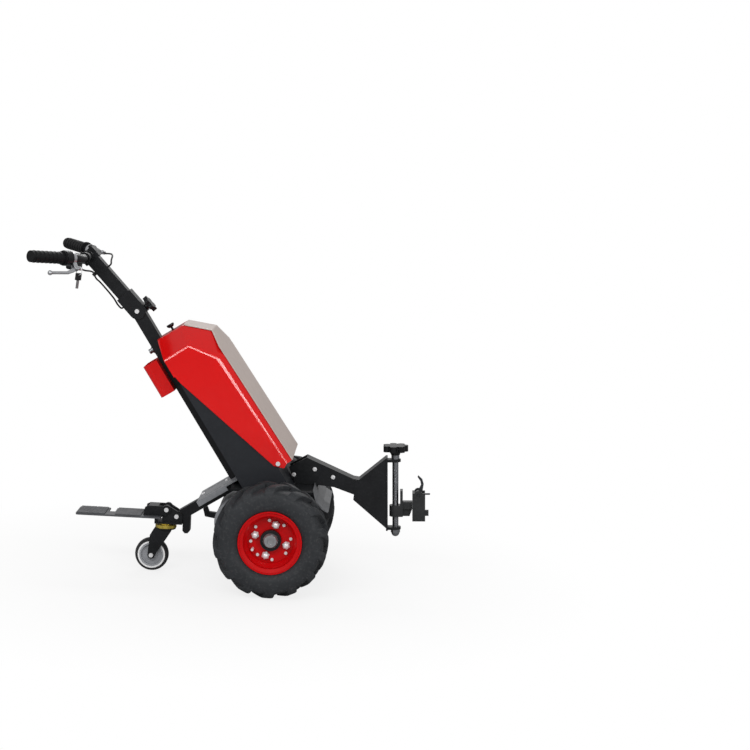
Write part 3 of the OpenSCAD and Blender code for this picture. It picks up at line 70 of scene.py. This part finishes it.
def make_camera():
    ahead = Vector((MEET_X, MEET_Y, LENS_PX)).normalized()
    level = Vector((math.sin(ROLL), -math.cos(ROLL), 0.0))
    up = (level - ahead * level.dot(ahead)).normalized()
    right = ahead.cross(up)
    # Rows of the camera's axes in the model's frame
    cam_x = Vector((right.x, ahead.x, up.x))
    cam_y = -Vector((right.y, ahead.y, up.y))
    cam_z = -Vector((right.z, ahead.z, up.z))
    data = bpy.data.cameras.new("camera")
    data.sensor_width = SENSOR_MM
    data.lens = SENSOR_MM * LENS_PX / PHOTO_PX
    data.clip_end = FARTHEST
    cam = bpy.data.objects.new("camera", data)
    bpy.context.scene.collection.objects.link(cam)
    m = Matrix((cam_x, cam_y, cam_z)).transposed().to_4x4()
    m.translation = CAMERA_AT
    cam.matrix_world = m
    bpy.context.scene.camera = cam


make_camera()


# Materials
def lin(r, g, b):
    """Linear colour of an 8 bit sRGB triple."""
    return tuple(
        c / 12.92 if c <= 0.04045 else ((c + 0.055) / 1.055) ** 2.4
        for c in (r / 255, g / 255, b / 255)
    ) + (1.0,)


class Nodes:
    """Short helper round one material's node tree."""

    def __init__(self, name):
        self.mat = bpy.data.materials.new(name)
        self.mat.use_nodes = True
        self.tree = self.mat.node_tree
        self.shader = self.tree.nodes["Principled BSDF"]
        self.coord = self.add("ShaderNodeTexCoord").outputs["Object"]

    def add(self, kind, **values):
        node = self.tree.nodes.new(kind)
        for key, value in values.items():
            setattr(node, key, value)
        return node

    def link(self, a, b):
        self.tree.links.new(a, b)

    def noise(self, scale, detail=3.0, rough=0.5, stretch=None):
        node = self.add("ShaderNodeTexNoise")
        node.inputs["Scale"].default_value = scale
        node.inputs["Detail"].default_value = detail
        node.inputs["Roughness"].default_value = rough
        source = self.coord
        if stretch:
            mapping = self.add("ShaderNodeMapping")
            mapping.inputs["Scale"].default_value = stretch
            self.link(self.coord, mapping.inputs["Vector"])
            source = mapping.outputs["Vector"]
        self.link(source, node.inputs["Vector"])
        return node.outputs["Fac"]

    def ramp(self, fac, stops):
        node = self.add("ShaderNodeValToRGB")
        ramp = node.color_ramp
        ramp.elements[0].position, ramp.elements[0].color = stops[0]
        ramp.elements[1].position, ramp.elements[1].color = stops[-1]
        for pos, color in stops[1:-1]:
            ramp.elements.new(pos).color = color
        self.link(fac, node.inputs["Fac"])
        return node.outputs["Color"]

    def spread(self, fac, low, high, start=0.3, end=0.7):
        node = self.add("ShaderNodeMapRange")
        node.inputs["From Min"].default_value = start
        node.inputs["From Max"].default_value = end
        node.inputs["To Min"].default_value = low
        node.inputs["To Max"].default_value = high
        self.link(fac, node.inputs["Value"])
        return node.outputs["Result"]

    def mix(self, fac, a, b):
        node = self.add("ShaderNodeMix", data_type="RGBA")
        self.link(fac, node.inputs["Factor"])
        for value, socket in ((a, node.inputs[6]), (b, node.inputs[7])):
            if isinstance(value, tuple):
                socket.default_value = value
            else:
                self.link(value, socket)
        return node.outputs[2]


def tint(color, k):
    return tuple(min(1.0, c * k) for c in color[:3]) + (1.0,)


# Where along a noise a colour is dark, plain and light
PATCH_SHARES = (0.3, 0.5, 0.72)
# Where along it dust starts and is full, and how much of it there is then
DUST_SHARES = (0.52, 0.78)
DUST_MOST_SHARE = 0.35
# How many times finer the noise of the dust and the gloss is than that of the colour
FINER = 9


def surface(name, color, rough=0.5, metal=0.0, coat=0.0, coat_rough=0.08, spec=0.5, vary=0.12,
            patch=18.0, grain=900.0, bump=0.00006, soft=0.0012, stretch=None, dust=None, rough_vary=0.06):
    """A material with patchy colour, uneven gloss, a fine grain and softened edges."""
    n = Nodes(name)
    big = n.noise(patch, 4.0, 0.6)
    small = n.noise(patch * FINER, 3.0, 0.6, stretch)
    dark, plain, light = PATCH_SHARES
    shade = n.ramp(big, [(dark, tint(color, 1 - vary)), (plain, color), (light, tint(color, 1 + vary))])
    if dust:
        mask = n.spread(small, 0.0, DUST_MOST_SHARE, *DUST_SHARES)
        shade = n.mix(mask, shade, dust)
    n.link(shade, n.shader.inputs["Base Color"])
    n.link(n.spread(small, rough - rough_vary, rough + rough_vary), n.shader.inputs["Roughness"])
    n.shader.inputs["Metallic"].default_value = metal
    n.shader.inputs["Specular IOR Level"].default_value = spec
    if coat:
        n.shader.inputs["Coat Weight"].default_value = coat
        n.shader.inputs["Coat Roughness"].default_value = coat_rough
    bumper = n.add("ShaderNodeBump")
    bumper.inputs["Strength"].default_value = 1.0
    bumper.inputs["Distance"].default_value = bump
    n.link(n.noise(grain, 2.0, 0.5, stretch), bumper.inputs["Height"])
    if soft:
        edge = n.add("ShaderNodeBevel", samples=4)
        edge.inputs["Radius"].default_value = soft
        n.link(edge.outputs["Normal"], bumper.inputs["Normal"])
    n.link(bumper.outputs["Normal"], n.shader.inputs["Normal"])
    n.mat.diffuse_color = color
    return n.mat


DUST = lin(88, 88, 88)
LOOKS = {
    "frame": surface("frame_paint", lin(27, 28, 30), 0.34, spec=0.22, vary=0.2, grain=1400, bump=0.000014,
                     dust=lin(44, 45, 48)),
    "linkage": surface("linkage_paint", lin(42, 43, 44), 0.34, spec=0.3, vary=0.22, grain=1400, bump=0.000014,
                       dust=lin(64, 64, 66)),
    "box": surface("box_paint", lin(36, 38, 42), 0.5, spec=0.2, vary=0.12, grain=1600, bump=0.00006,
                   dust=lin(46, 48, 52)),
    # The deck is black paint; its light grey colour is painted light, the sheen of its top face under the lamps
    # above.
    "deck": surface("deck_painted_top_light", lin(128, 130, 134), 0.42, spec=0.4, vary=0.16, grain=1200, soft=0.0008,
                    dust=lin(70, 71, 74)),
    "guard": surface("guard_paint", lin(104, 105, 108), 0.46, spec=0.35, vary=0.14, grain=1100, soft=0.0007,
                     dust=lin(60, 60, 62)),
    "step": surface("step_paint", lin(76, 77, 80), 0.4, spec=0.35, vary=0.16, grain=1100, soft=0.0007,
                    dust=lin(84, 85, 88)),
    "red": surface("hood_red", lin(206, 14, 14), 0.4, coat=0.8, coat_rough=0.12, spec=0.0, vary=0.04, patch=7,
                   grain=500, bump=0.000003, soft=0),
    "panel": surface("panel_beige", lin(186, 170, 162), 0.4, coat=0.1, spec=0.3, vary=0.04, patch=6,
                     grain=700, bump=0.00002, soft=0),
    "rim": surface("rim_red", lin(188, 5, 10), 0.34, coat=0.12, spec=0.1, vary=0.06, patch=14, grain=800,
                   bump=0.00003, soft=0.0009),
    "tyre": surface("tyre_rubber", lin(43, 45, 48), 0.6, spec=0.25, vary=0.18, patch=16, grain=1100,
                    bump=0.00012, soft=0.0015, dust=DUST),
    "rubber": surface("grip_rubber", lin(15, 15, 17), 0.5, spec=0.25, vary=0.14, patch=40, grain=1500,
                      bump=0.00008, soft=0.0006),
    "plastic": surface("black_plastic", lin(18, 19, 21), 0.32, spec=0.3, vary=0.1, patch=30, grain=1800,
                       bump=0.000014, soft=0.0008),
    "battery": surface("battery_plastic", lin(52, 54, 60), 0.5, spec=0.3, vary=0.08, grain=1500),
    "steel": surface("turned_steel", lin(150, 152, 156), 0.34, metal=1.0, vary=0.14, patch=40, grain=1500,
                     bump=0.00003, soft=0.0005, stretch=(1, 8, 1)),
    # The nuts and bolts are chrome; their near white colour is a painted reflection of the white surroundings.
    "chrome": surface("chrome_painted_white_reflection", lin(232, 232, 233), 0.3, metal=0.35, vary=0.05, patch=60, grain=1500,
                      bump=0.00001, soft=0.0006, rough_vary=0.04),
    "silver": surface("cast_silver", lin(186, 187, 190), 0.34, metal=0.85, vary=0.1, patch=50, grain=1600,
                      bump=0.000012, soft=0.0006),
    "motor": surface("motor_casting", lin(160, 162, 166), 0.46, metal=0.4, vary=0.12, grain=900, bump=0.0001,
                     dust=lin(110, 110, 110)),
    "case": surface("gear_casting", lin(44, 46, 50), 0.45, metal=0.3, vary=0.16, grain=700, bump=0.00014),
    "zinc": surface("yellow_zinc", lin(206, 184, 84), 0.32, metal=0.7, vary=0.24, patch=60, grain=1500,
                    bump=0.00003, soft=0.0006),
    "caster_grey": surface("caster_core", lin(148, 150, 154), 0.45, spec=0.35, vary=0.1, patch=40, grain=1400,
                           bump=0.00004, soft=0.0008),
    "mat": surface("step_mat", lin(94, 95, 98), 0.6, spec=0.3, vary=0.16, patch=30, grain=1000, bump=0.00012,
                   soft=0.0005, dust=lin(116, 116, 116)),
}


# Metres from the caster's axle within which its tyre is white and beyond which it is black
WHITE_TO, BLACK_FROM = 0.0405, 0.0409


def caster_rubber():
    """Black tread with the white ring of the tyre's side, told apart by the distance from the axle."""
    n = Nodes("caster_tyre")
    low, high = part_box("caster_wheel")
    offset = n.add("ShaderNodeVectorMath", operation="SUBTRACT")
    offset.inputs[1].default_value = (low + high) / 2
    n.link(n.coord, offset.inputs[0])
    flat = n.add("ShaderNodeVectorMath", operation="MULTIPLY")
    flat.inputs[1].default_value = (1, 0, 1)
    n.link(offset.outputs[0], flat.inputs[0])
    size = n.add("ShaderNodeVectorMath", operation="LENGTH")
    n.link(flat.outputs[0], size.inputs[0])
    ring = n.spread(size.outputs["Value"], 1.0, 0.0, WHITE_TO, BLACK_FROM)
    black = n.ramp(n.noise(60, 3), [(0.3, lin(24, 24, 26)), (0.7, lin(38, 38, 40))])
    white = n.ramp(n.noise(50, 3), [(0.3, lin(226, 226, 226)), (0.7, lin(240, 240, 240))])
    n.link(n.mix(ring, black, white), n.shader.inputs["Base Color"])
    n.link(n.spread(n.noise(90, 3), 0.42, 0.6), n.shader.inputs["Roughness"])
    bumper = n.add("ShaderNodeBump")
    bumper.inputs["Distance"].default_value = 0.00008
    n.link(n.noise(1200, 2), bumper.inputs["Height"])
    n.link(bumper.outputs["Normal"], n.shader.inputs["Normal"])
    return n.mat


LOOKS["caster_rubber"] = caster_rubber()


# Metres above the keys' lowest point below which they are steel and above which they are black
BLADE_TO, HEAD_FROM = 0.0225, 0.0235


def key_set():
    """Black heads above, bright blades below, told apart by their height."""
    n = Nodes("key_set")
    low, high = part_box("keys")
    parts = n.add("ShaderNodeSeparateXYZ")
    n.link(n.coord, parts.inputs[0])
    blade = n.spread(parts.outputs["Z"], 1.0, 0.0, low.z + BLADE_TO, low.z + HEAD_FROM)
    head = n.ramp(n.noise(200, 3), [(0.3, lin(16, 16, 18)), (0.7, lin(26, 26, 28))])
    steel = n.ramp(n.noise(240, 3), [(0.3, lin(168, 168, 170)), (0.7, lin(206, 206, 208))])
    n.link(n.mix(blade, head, steel), n.shader.inputs["Base Color"])
    n.link(blade, n.shader.inputs["Metallic"])
    n.link(n.spread(n.noise(300, 3), 0.26, 0.4), n.shader.inputs["Roughness"])
    return n.mat


LOOKS["keys"] = key_set()

WEARS = {
    "frame": ["main_frame", "rear_arm", "torque_link", "caster_bracket", "caster_fork", "step_bracket",
              "column", "drawbar", "handle_tube", "handlebar", "hub_left", "hub_right"],
    "linkage": ["hitch_carriage", "coupler"],
    "box": ["battery_box"],
    "deck": ["arm_deck"],
    "step": ["step_plate"],
    "guard": ["front_guard"],
    "red": ["hood", "rear_pocket"],
    "panel": ["hood_panel"],
    "rim": ["rim_left", "rim_right"],
    "tyre": ["tyre_left", "tyre_right"],
    "rubber": ["grip_left", "throttle_grip", "brake_cables"],
    "plastic": ["star_knob", "latch_knob", "control_box", "throttle_body", "hand_wheel", "cable_clips",
                "bar_clamp"],
    "keys": ["keys"],
    "battery": ["batteries"],
    "steel": ["axle_bearings", "hitch_screw", "screw_nut", "charge_socket"],
    "chrome": ["wheel_nuts_left", "wheel_nuts_right", "frame_bolts", "key_ring", "caster_axle"],
    "silver": ["brake_lever_left", "brake_lever_right", "lever_perches", "axle_left", "axle_right"],
    "motor": ["drive_motor", "controller"],
    "case": ["transaxle", "coupler_hook"],
    "zinc": ["caster_race"],
    "caster_rubber": ["caster_wheel"],
    "caster_grey": ["caster_core"],
    "mat": ["step_mats"],
}


def dress():
    left = set(NODES)
    for key, names in WEARS.items():
        for name in names:
            node = NODES[name]
            if not node.material_slots:
                node.data.materials.append(LOOKS[key])
            for slot in node.material_slots:
                slot.material = LOOKS[key]
            left.discard(name)
    if left:
        raise SystemExit("no material for %s" % sorted(left))


dress()


# Mesh helpers
def show(name, mesh, smooth):
    """Links a mesh as an object whose edges are sharp beyond an angle."""
    piece = bpy.data.objects.new(name, mesh)
    bpy.context.scene.collection.objects.link(piece)
    mesh.shade_smooth()
    mesh.set_sharp_from_angle(angle=math.radians(smooth))
    return piece


def new_piece(name, verts, faces, material, body, smooth):
    mesh = bpy.data.meshes.new(name)
    mesh.from_pydata([tuple(v) for v in verts], [], faces)
    bm = bmesh.new()
    bm.from_mesh(mesh)
    bmesh.ops.recalc_face_normals(bm, faces=bm.faces)
    bm.to_mesh(mesh)
    bm.free()
    mesh.materials.append(material)
    piece = show(name, mesh, smooth)
    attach(piece, body)
    return piece


def ring_faces(rows, count):
    """Faces between closed rows of count points each."""
    faces = []
    for i in range(rows - 1):
        for k in range(count):
            a, b = i * count + k, i * count + (k + 1) % count
            faces.append((a, b, b + count, a + count))
    return faces


def spline(points, steps):
    """A smooth line through the points, with steps parts between each two."""
    out = []
    p = [Vector(q) for q in points]
    for i in range(len(p) - 1):
        a, b, c, d = p[max(i - 1, 0)], p[i], p[i + 1], p[min(i + 2, len(p) - 1)]
        for j in range(steps):
            u = j / steps
            out.append(0.5 * (2 * b + (c - a) * u + (2 * a - 5 * b + 4 * c - d) * u * u
                              + (3 * b - a - 3 * c + d) * u ** 3))
    out.append(p[-1])
    return out


def tube(path, radius, sides):
    """A round bar along a path, closed at both ends."""
    verts = []
    for i, point in enumerate(path):
        t = (path[min(i + 1, len(path) - 1)] - path[max(i - 1, 0)]).normalized()
        a = t.cross(Vector((1, 0, 0)) if abs(t.z) > 0.9 else Vector((0, 0, 1))).normalized()
        b = a.cross(t)
        for k in range(sides):
            w = math.tau * k / sides
            verts.append(point + radius * (a * math.cos(w) + b * math.sin(w)))
    faces = ring_faces(len(path), sides)
    last = (len(path) - 1) * sides
    faces.append(tuple(range(sides)))
    faces.append(tuple(last + k for k in reversed(range(sides))))
    return verts, faces


# Folded sheet
# Metres within which points are one, and degrees within which faces are one plane
SAME_POINT, SAME_PLANE = 1e-6, 0.4
SHORTEST_FOLD = 0.012
FOLD_STEPS = 4
FOLD_SHARP = 35.0


def fold_round(node, width, low, high):
    """A copy of a CAD piece whose outer folds between two angles are rounded, as bent sheet is."""
    source = NODES[node]
    bm = bmesh.new()
    bm.from_mesh(source.data)
    bm.transform(source.matrix_world)
    bmesh.ops.remove_doubles(bm, verts=bm.verts, dist=SAME_POINT)
    bmesh.ops.dissolve_limit(bm, angle_limit=math.radians(SAME_PLANE), verts=bm.verts, edges=bm.edges)
    folds = [e for e in bm.edges
             if len(e.link_faces) == 2 and e.is_convex and e.calc_length() > SHORTEST_FOLD
             and low < math.degrees(e.calc_face_angle(0.0)) < high]
    bmesh.ops.bevel(bm, geom=folds, offset=width, offset_type="OFFSET", segments=FOLD_STEPS, profile=0.5,
                    affect="EDGES", clamp_overlap=False)
    mesh = bpy.data.meshes.new(node + "_folded")
    bm.to_mesh(mesh)
    bm.free()
    for slot in source.material_slots:
        mesh.materials.append(slot.material)
    for face in mesh.polygons:
        face.material_index = 0
    piece = show(node + "_folded", mesh, FOLD_SHARP)
    piece.modifiers.new("flat faces", "WEIGHTED_NORMAL").keep_sharp = True
    record = frame["record"]
    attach(piece, next(b for b, names in record["behaviour"]["bodies"].items() if node in names))
    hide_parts(node)
    return piece


FOLDED = [fold_round("hood", 0.006, 20.0, 80.0)]
fold_round("hood_panel", 0.002, 6.0, 100.0)


# Drive tyres
RIM_LOW, RIM_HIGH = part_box("rim_left")
TYRE_LOW, TYRE_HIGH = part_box("tyre_left")
FLANGE_R = (RIM_HIGH.x - RIM_LOW.x) / 2
TYRE_HALF = (TYRE_HIGH.y - TYRE_LOW.y) / 2
HALF_TRACK = (RIM_HIGH.y + RIM_LOW.y) / 2
FLANGE_T, GAP = 0.004, 0.0003
BEAD_HALF = (RIM_HIGH.y - RIM_LOW.y) / 2 - FLANGE_T - GAP
BEAD_DEPTH, BEAD_SLOPE = 0.01, 0.004
LUG_H = 0.013
CARCASS_R = AXLE.z - LUG_H
# Side wall: shares of the way from the flange to the tread, and of the bulge
WALL_SHARES = [(0.0, 0.0), (0.05, 0.4), (0.2, 0.82), (0.42, 1.0), (0.66, 0.96), (0.84, 0.72), (0.94, 0.25),
               (0.985, -0.5), (1.0, -1.3)]
WALL_STEPS = 4
# Moulded lines on the side wall: where they run, how wide they are, and their heights
LINE_SHARES, LINE_WIDTH_SHARE = (0.13, 0.30), 0.02
LINE_HEIGHTS = (0.0006, 0.0004)
AROUND = 144
TYRE_SHARP = 40
# Lugs on each side, what the tread falls towards the shoulder, and the lugs' slant and bend in degrees
LUGS, SHOULDER_SHARE = 14, 0.07
SLANT, BEND = 17.0, 1.6
# A lug's length round the tyre, and half of it as a turn in degrees
LUG_LEN = 0.034
LUG_HALF_TURN = math.degrees(LUG_LEN / 2 / AXLE.z)
# Along a lug: shares of the tyre's half width and of the lug's height
STATION_SHARES = [(0.03, 1.0), (0.22, 1.0), (0.42, 1.0), (0.6, 0.98), (0.74, 0.9), (0.84, 0.66), (0.9, 0.36),
                  (0.95, 0.06)]
# Across a lug: shares of its half turn and of its height, where below zero is in the carcass
ROOT_SHARE = -0.5
PROFILE_SHARES = [(-1.0, ROOT_SHARE), (-0.94, 0.1), (-0.87, 0.8), (-0.8, 0.96), (-0.66, 1.0),
                  (0.66, 1.0), (0.8, 0.96), (0.87, 0.8), (0.94, 0.1), (1.0, ROOT_SHARE)]


def wall_curve():
    """Section of the carcass from the bead round to the middle of the tread: radius, half width."""
    start, up, out = FLANGE_R + GAP, CARCASS_R - FLANGE_R - GAP, TYRE_HALF - BEAD_HALF
    keys = [Vector((start + up * a, BEAD_HALF + out * b, 0)) for a, b in WALL_SHARES]
    curve = []
    for p in spline(keys, WALL_STEPS):
        share = (p.x - FLANGE_R) / (CARCASS_R - FLANGE_R)
        lift = 0.0
        for middle, height in zip(LINE_SHARES, LINE_HEIGHTS):
            lift += height * math.exp(-((share - middle) / LINE_WIDTH_SHARE) ** 2)
        curve.append((p.x, p.y + lift))
    return curve


def lug_point(share, lift, turn):
    """A point at a share of the half width, a share of the lug's height and a turn in degrees."""
    r = CARCASS_R * (1 - SHOULDER_SHARE * share ** 4) + LUG_H * lift
    w = math.radians(turn)
    return Vector((r * math.cos(w), r * math.sin(w), TYRE_HALF * share))


def add_lug(verts, faces, turn, flip):
    """One lug with rolled edges, from the middle of the tread over one shoulder."""
    start, across, rows = len(verts), len(PROFILE_SHARES), len(STATION_SHARES)
    last = STATION_SHARES[-1][0]
    for share, lift in STATION_SHARES:
        slant = SLANT * share + BEND * math.sin(math.pi * share / last)
        for side, up in PROFILE_SHARES:
            level = up
            if up > 0:
                level = ROOT_SHARE + (up - ROOT_SHARE) / (1 - ROOT_SHARE) * (lift - ROOT_SHARE)
            p = lug_point(share, level, turn + slant + LUG_HALF_TURN * side)
            if flip:
                p.z = -p.z
            verts.append(p)
    for a in range(rows - 1):
        q = start + a * across
        faces += [(q + b, q + b + 1, q + b + 1 + across, q + b + across) for b in range(across - 1)]
        faces.append((q, q + across, q + across + across - 1, q + across - 1))
    faces.append(tuple(start + b for b in range(across)))
    faces.append(tuple(start + (rows - 1) * across + b for b in range(across)))


def make_tyre(side, word):
    """A hollow carcass with finer lugs than the frame's, in the place of the CAD tyre."""
    half = [(FLANGE_R - BEAD_DEPTH, BEAD_HALF - BEAD_SLOPE), (FLANGE_R, BEAD_HALF)] + wall_curve()
    full = half + [(r, -w) for r, w in reversed(half)]
    verts = []
    for r, w in full:
        for k in range(AROUND):
            a = math.tau * k / AROUND
            verts.append(Vector((r * math.cos(a), r * math.sin(a), w)))
    faces = ring_faces(len(full), AROUND)
    for i in range(LUGS):
        for flip in (0, 1):
            add_lug(verts, faces, (i + flip / 2) * 360.0 / LUGS, flip)
    turn = Matrix.Rotation(math.radians(-side * 90), 3, "X")
    centre = AXLE + Vector((0, side * HALF_TRACK, 0))
    verts = [centre + turn @ v for v in verts]
    piece = new_piece("lugged_tyre_" + word, verts, faces, LOOKS["tyre"], "wheel_" + word, TYRE_SHARP)
    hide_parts("tyre_" + word)


make_tyre(1, "left")
make_tyre(-1, "right")


# Brake cables
CABLE_D = 0.005
CABLE_STEPS, CABLE_SIDES, CABLE_SHARP = 8, 14, 60
# Routes in millimetres from the middle of the axle
RIGHT_CABLE = [[-579, -165, 741], [-566, -153, 736], [-556, -130, 733], [-554, -90, 726],
               [-556, -50, 714], [-556, -20, 702], [-548, -2, 691], [-530, 0, 672],
               [-506, 0, 645], [-494, 0, 627], [-482, 0, 617], [-472, 0, 626]]
LEFT_CABLE = [[-567, 172, 765], [-560, 158, 763], [-545, 130, 765], [-531, 90, 767],
              [-522, 50, 765], [-520, 20, 755], [-518, 2, 745], [-525, 0, 738]]


def make_cables():
    made = []
    for name, points in (("cable_right", RIGHT_CABLE), ("cable_left", LEFT_CABLE)):
        path = spline([at_axle(*p) for p in points], CABLE_STEPS)
        verts, faces = tube(path, CABLE_D / 2, CABLE_SIDES)
        made.append(new_piece(name, verts, faces, LOOKS["rubber"], "handle", CABLE_SHARP))
    for piece in made:
        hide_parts("brake_cables")


make_cables()


# Screw thread
PITCH, CREST, ROOT = 0.005, 0.00935, 0.0086
# Both ends, from the joint's place along the screw
THREAD_LOW, THREAD_HIGH = -0.096, 0.088
# Radius and height round the thread's section
SECTION = ((ROOT, 0.0), (CREST, 0.0009), (CREST, 0.0015), (ROOT, 0.0024))
TURN_STEPS = 20
THREAD_SHARP = 25


def make_thread():
    """Rolled thread on the lifting screw between its ears; the carriage's own thread runs in it."""
    joint = JOINTS["screw_turn"]
    middle, along = Vector(joint["pos_m"]), Vector(joint["axis"])
    side = Vector((0, 1, 0))
    front = side.cross(along)
    steps = round((THREAD_HIGH - THREAD_LOW) / PITCH * TURN_STEPS)
    verts = []
    for i in range(steps + 1):
        w = math.tau * i / TURN_STEPS
        z = THREAD_LOW + PITCH * i / TURN_STEPS
        for r, dz in SECTION:
            verts.append(middle + r * math.cos(w) * front + r * math.sin(w) * side + (z + dz) * along)
    count = len(SECTION)
    faces = ring_faces(steps + 1, count)
    faces.append(tuple(range(count)))
    faces.append(tuple(count * steps + k for k in reversed(range(count))))
    new_piece("screw_thread", verts, faces, LOOKS["steel"], "screw", THREAD_SHARP)


make_thread()


# Studio
WHITE = (1.0, 1.0, 1.0, 1.0)
WORLD_LIGHT, WORLD_SEEN = 0.5, 1.0
FLOOR_TONE, FLOOR_MIRRORED = (0.82, 0.82, 0.82, 1), (0.3, 0.3, 0.3, 1)
FLOOR_HALF, FLOOR_DROP = 30.0, 0.0005
# The floor's own glow: from and to these distances from the middle, and its shares there
GLOW_NEAR, GLOW_FAR = 0.3, 1.1
GLOW_NEAR_SHARE, GLOW_FAR_SHARE = 0.8, 1.0
# Name, place, target, size in metres and power in watts
LAMPS = (
    ("strip", (-1.0, -3.5, 2.9), (0, 0, 0.5), (3.8, 0.5), 80),
    ("side", (2.57, -3.34, 1.97), (0, 0, 0.5), (0.8, 0.8), 38),
    ("back", (0.4, 3.2, 2.6), (0, 0, 0.4), (3.0, 0.8), 40),
    ("fold panel", (-0.1, -4.1, 1.75), (-0.1, 0, 0.6), (4.7, 1.5), 300),
)


def clean(tree, output):
    """Empties a node tree and returns its adder, its linker and a new output's socket."""
    tree.nodes.clear()
    return tree.nodes.new, tree.links.new, tree.nodes.new(output).inputs[0]


def light_world(world):
    """White for the camera and through glass, and a plain light for everything else."""
    world.use_nodes = True
    add, link, out = clean(world.node_tree, "ShaderNodeOutputWorld")
    mix = add("ShaderNodeMixShader")
    path = add("ShaderNodeLightPath")
    either = add("ShaderNodeMath")
    either.operation = "MAXIMUM"
    for k, kind in enumerate(("Is Camera Ray", "Is Transmission Ray")):
        link(path.outputs[kind], either.inputs[k])
    link(either.outputs[0], mix.inputs[0])
    for k, strength in enumerate((WORLD_LIGHT, WORLD_SEEN)):
        ground = add("ShaderNodeBackground")
        ground.inputs["Strength"].default_value = strength
        ground.inputs["Color"].default_value = WHITE
        link(ground.outputs[0], mix.inputs[k + 1])
    link(mix.outputs[0], out)


def floor_paint():
    """Faintly shaded under the machine and pure white away from it."""
    mat = bpy.data.materials.new("floor_white")
    mat.use_nodes = True
    add, link, out = clean(mat.node_tree, "ShaderNodeOutputMaterial")
    path = add("ShaderNodeLightPath")
    # Glossy rays see a darker floor, so that the paint's sides keep their depth
    tone = add("ShaderNodeMix")
    tone.data_type = "RGBA"
    tone.inputs[6].default_value = FLOOR_TONE
    tone.inputs[7].default_value = FLOOR_MIRRORED
    link(path.outputs["Is Glossy Ray"], tone.inputs["Factor"])
    diffuse = add("ShaderNodeBsdfDiffuse")
    link(tone.outputs[2], diffuse.inputs["Color"])
    glow = add("ShaderNodeEmission")
    glow.inputs["Color"].default_value = WHITE
    away = add("ShaderNodeVectorMath")
    away.operation = "LENGTH"
    link(add("ShaderNodeNewGeometry").outputs["Position"], away.inputs[0])
    fade = add("ShaderNodeMapRange")
    for socket, value in (("From Min", GLOW_NEAR), ("From Max", GLOW_FAR),
                          ("To Min", GLOW_NEAR_SHARE), ("To Max", GLOW_FAR_SHARE)):
        fade.inputs[socket].default_value = value
    link(away.outputs["Value"], fade.inputs["Value"])
    share = add("ShaderNodeMath")
    share.operation = "MULTIPLY"
    link(path.outputs["Is Camera Ray"], share.inputs[0])
    link(fade.outputs["Result"], share.inputs[1])
    mix = add("ShaderNodeMixShader")
    for k, source in enumerate((share, diffuse, glow)):
        link(source.outputs[0], mix.inputs[k])
    link(mix.outputs[0], out)
    return mat


def lamp(name, place, target, size, power):
    data = bpy.data.lights.new(name, "AREA")
    data.shape = "RECTANGLE"
    data.size, data.size_y = size
    data.energy = power
    light = bpy.data.objects.new(name, data)
    bpy.context.scene.collection.objects.link(light)
    light.location = place
    light.rotation_euler = (Vector(target) - Vector(place)).to_track_quat("-Z", "Y").to_euler()
    return light


def make_studio():
    scene = bpy.context.scene
    scene.view_settings.view_transform = "Standard"
    scene.world = bpy.data.worlds.new("world")
    light_world(scene.world)
    mesh = bpy.data.meshes.new("floor")
    s = FLOOR_HALF
    mesh.from_pydata([(-s, -s, 0), (s, -s, 0), (s, s, 0), (-s, s, 0)], [], [(0, 1, 2, 3)])
    mesh.materials.append(floor_paint())
    floor = bpy.data.objects.new("floor", mesh)
    floor.location.z = -FLOOR_DROP
    scene.collection.objects.link(floor)
    lights = [lamp(*row) for row in LAMPS]
    # The last is a tall panel that only the hood's rounded folds mirror to the camera
    lights[-1].visible_diffuse = False
    seen_by = bpy.data.collections.new("fold panel lights")
    for piece in FOLDED:
        seen_by.objects.link(piece)
    lights[-1].light_linking.receiver_collection = seen_by


make_studio()
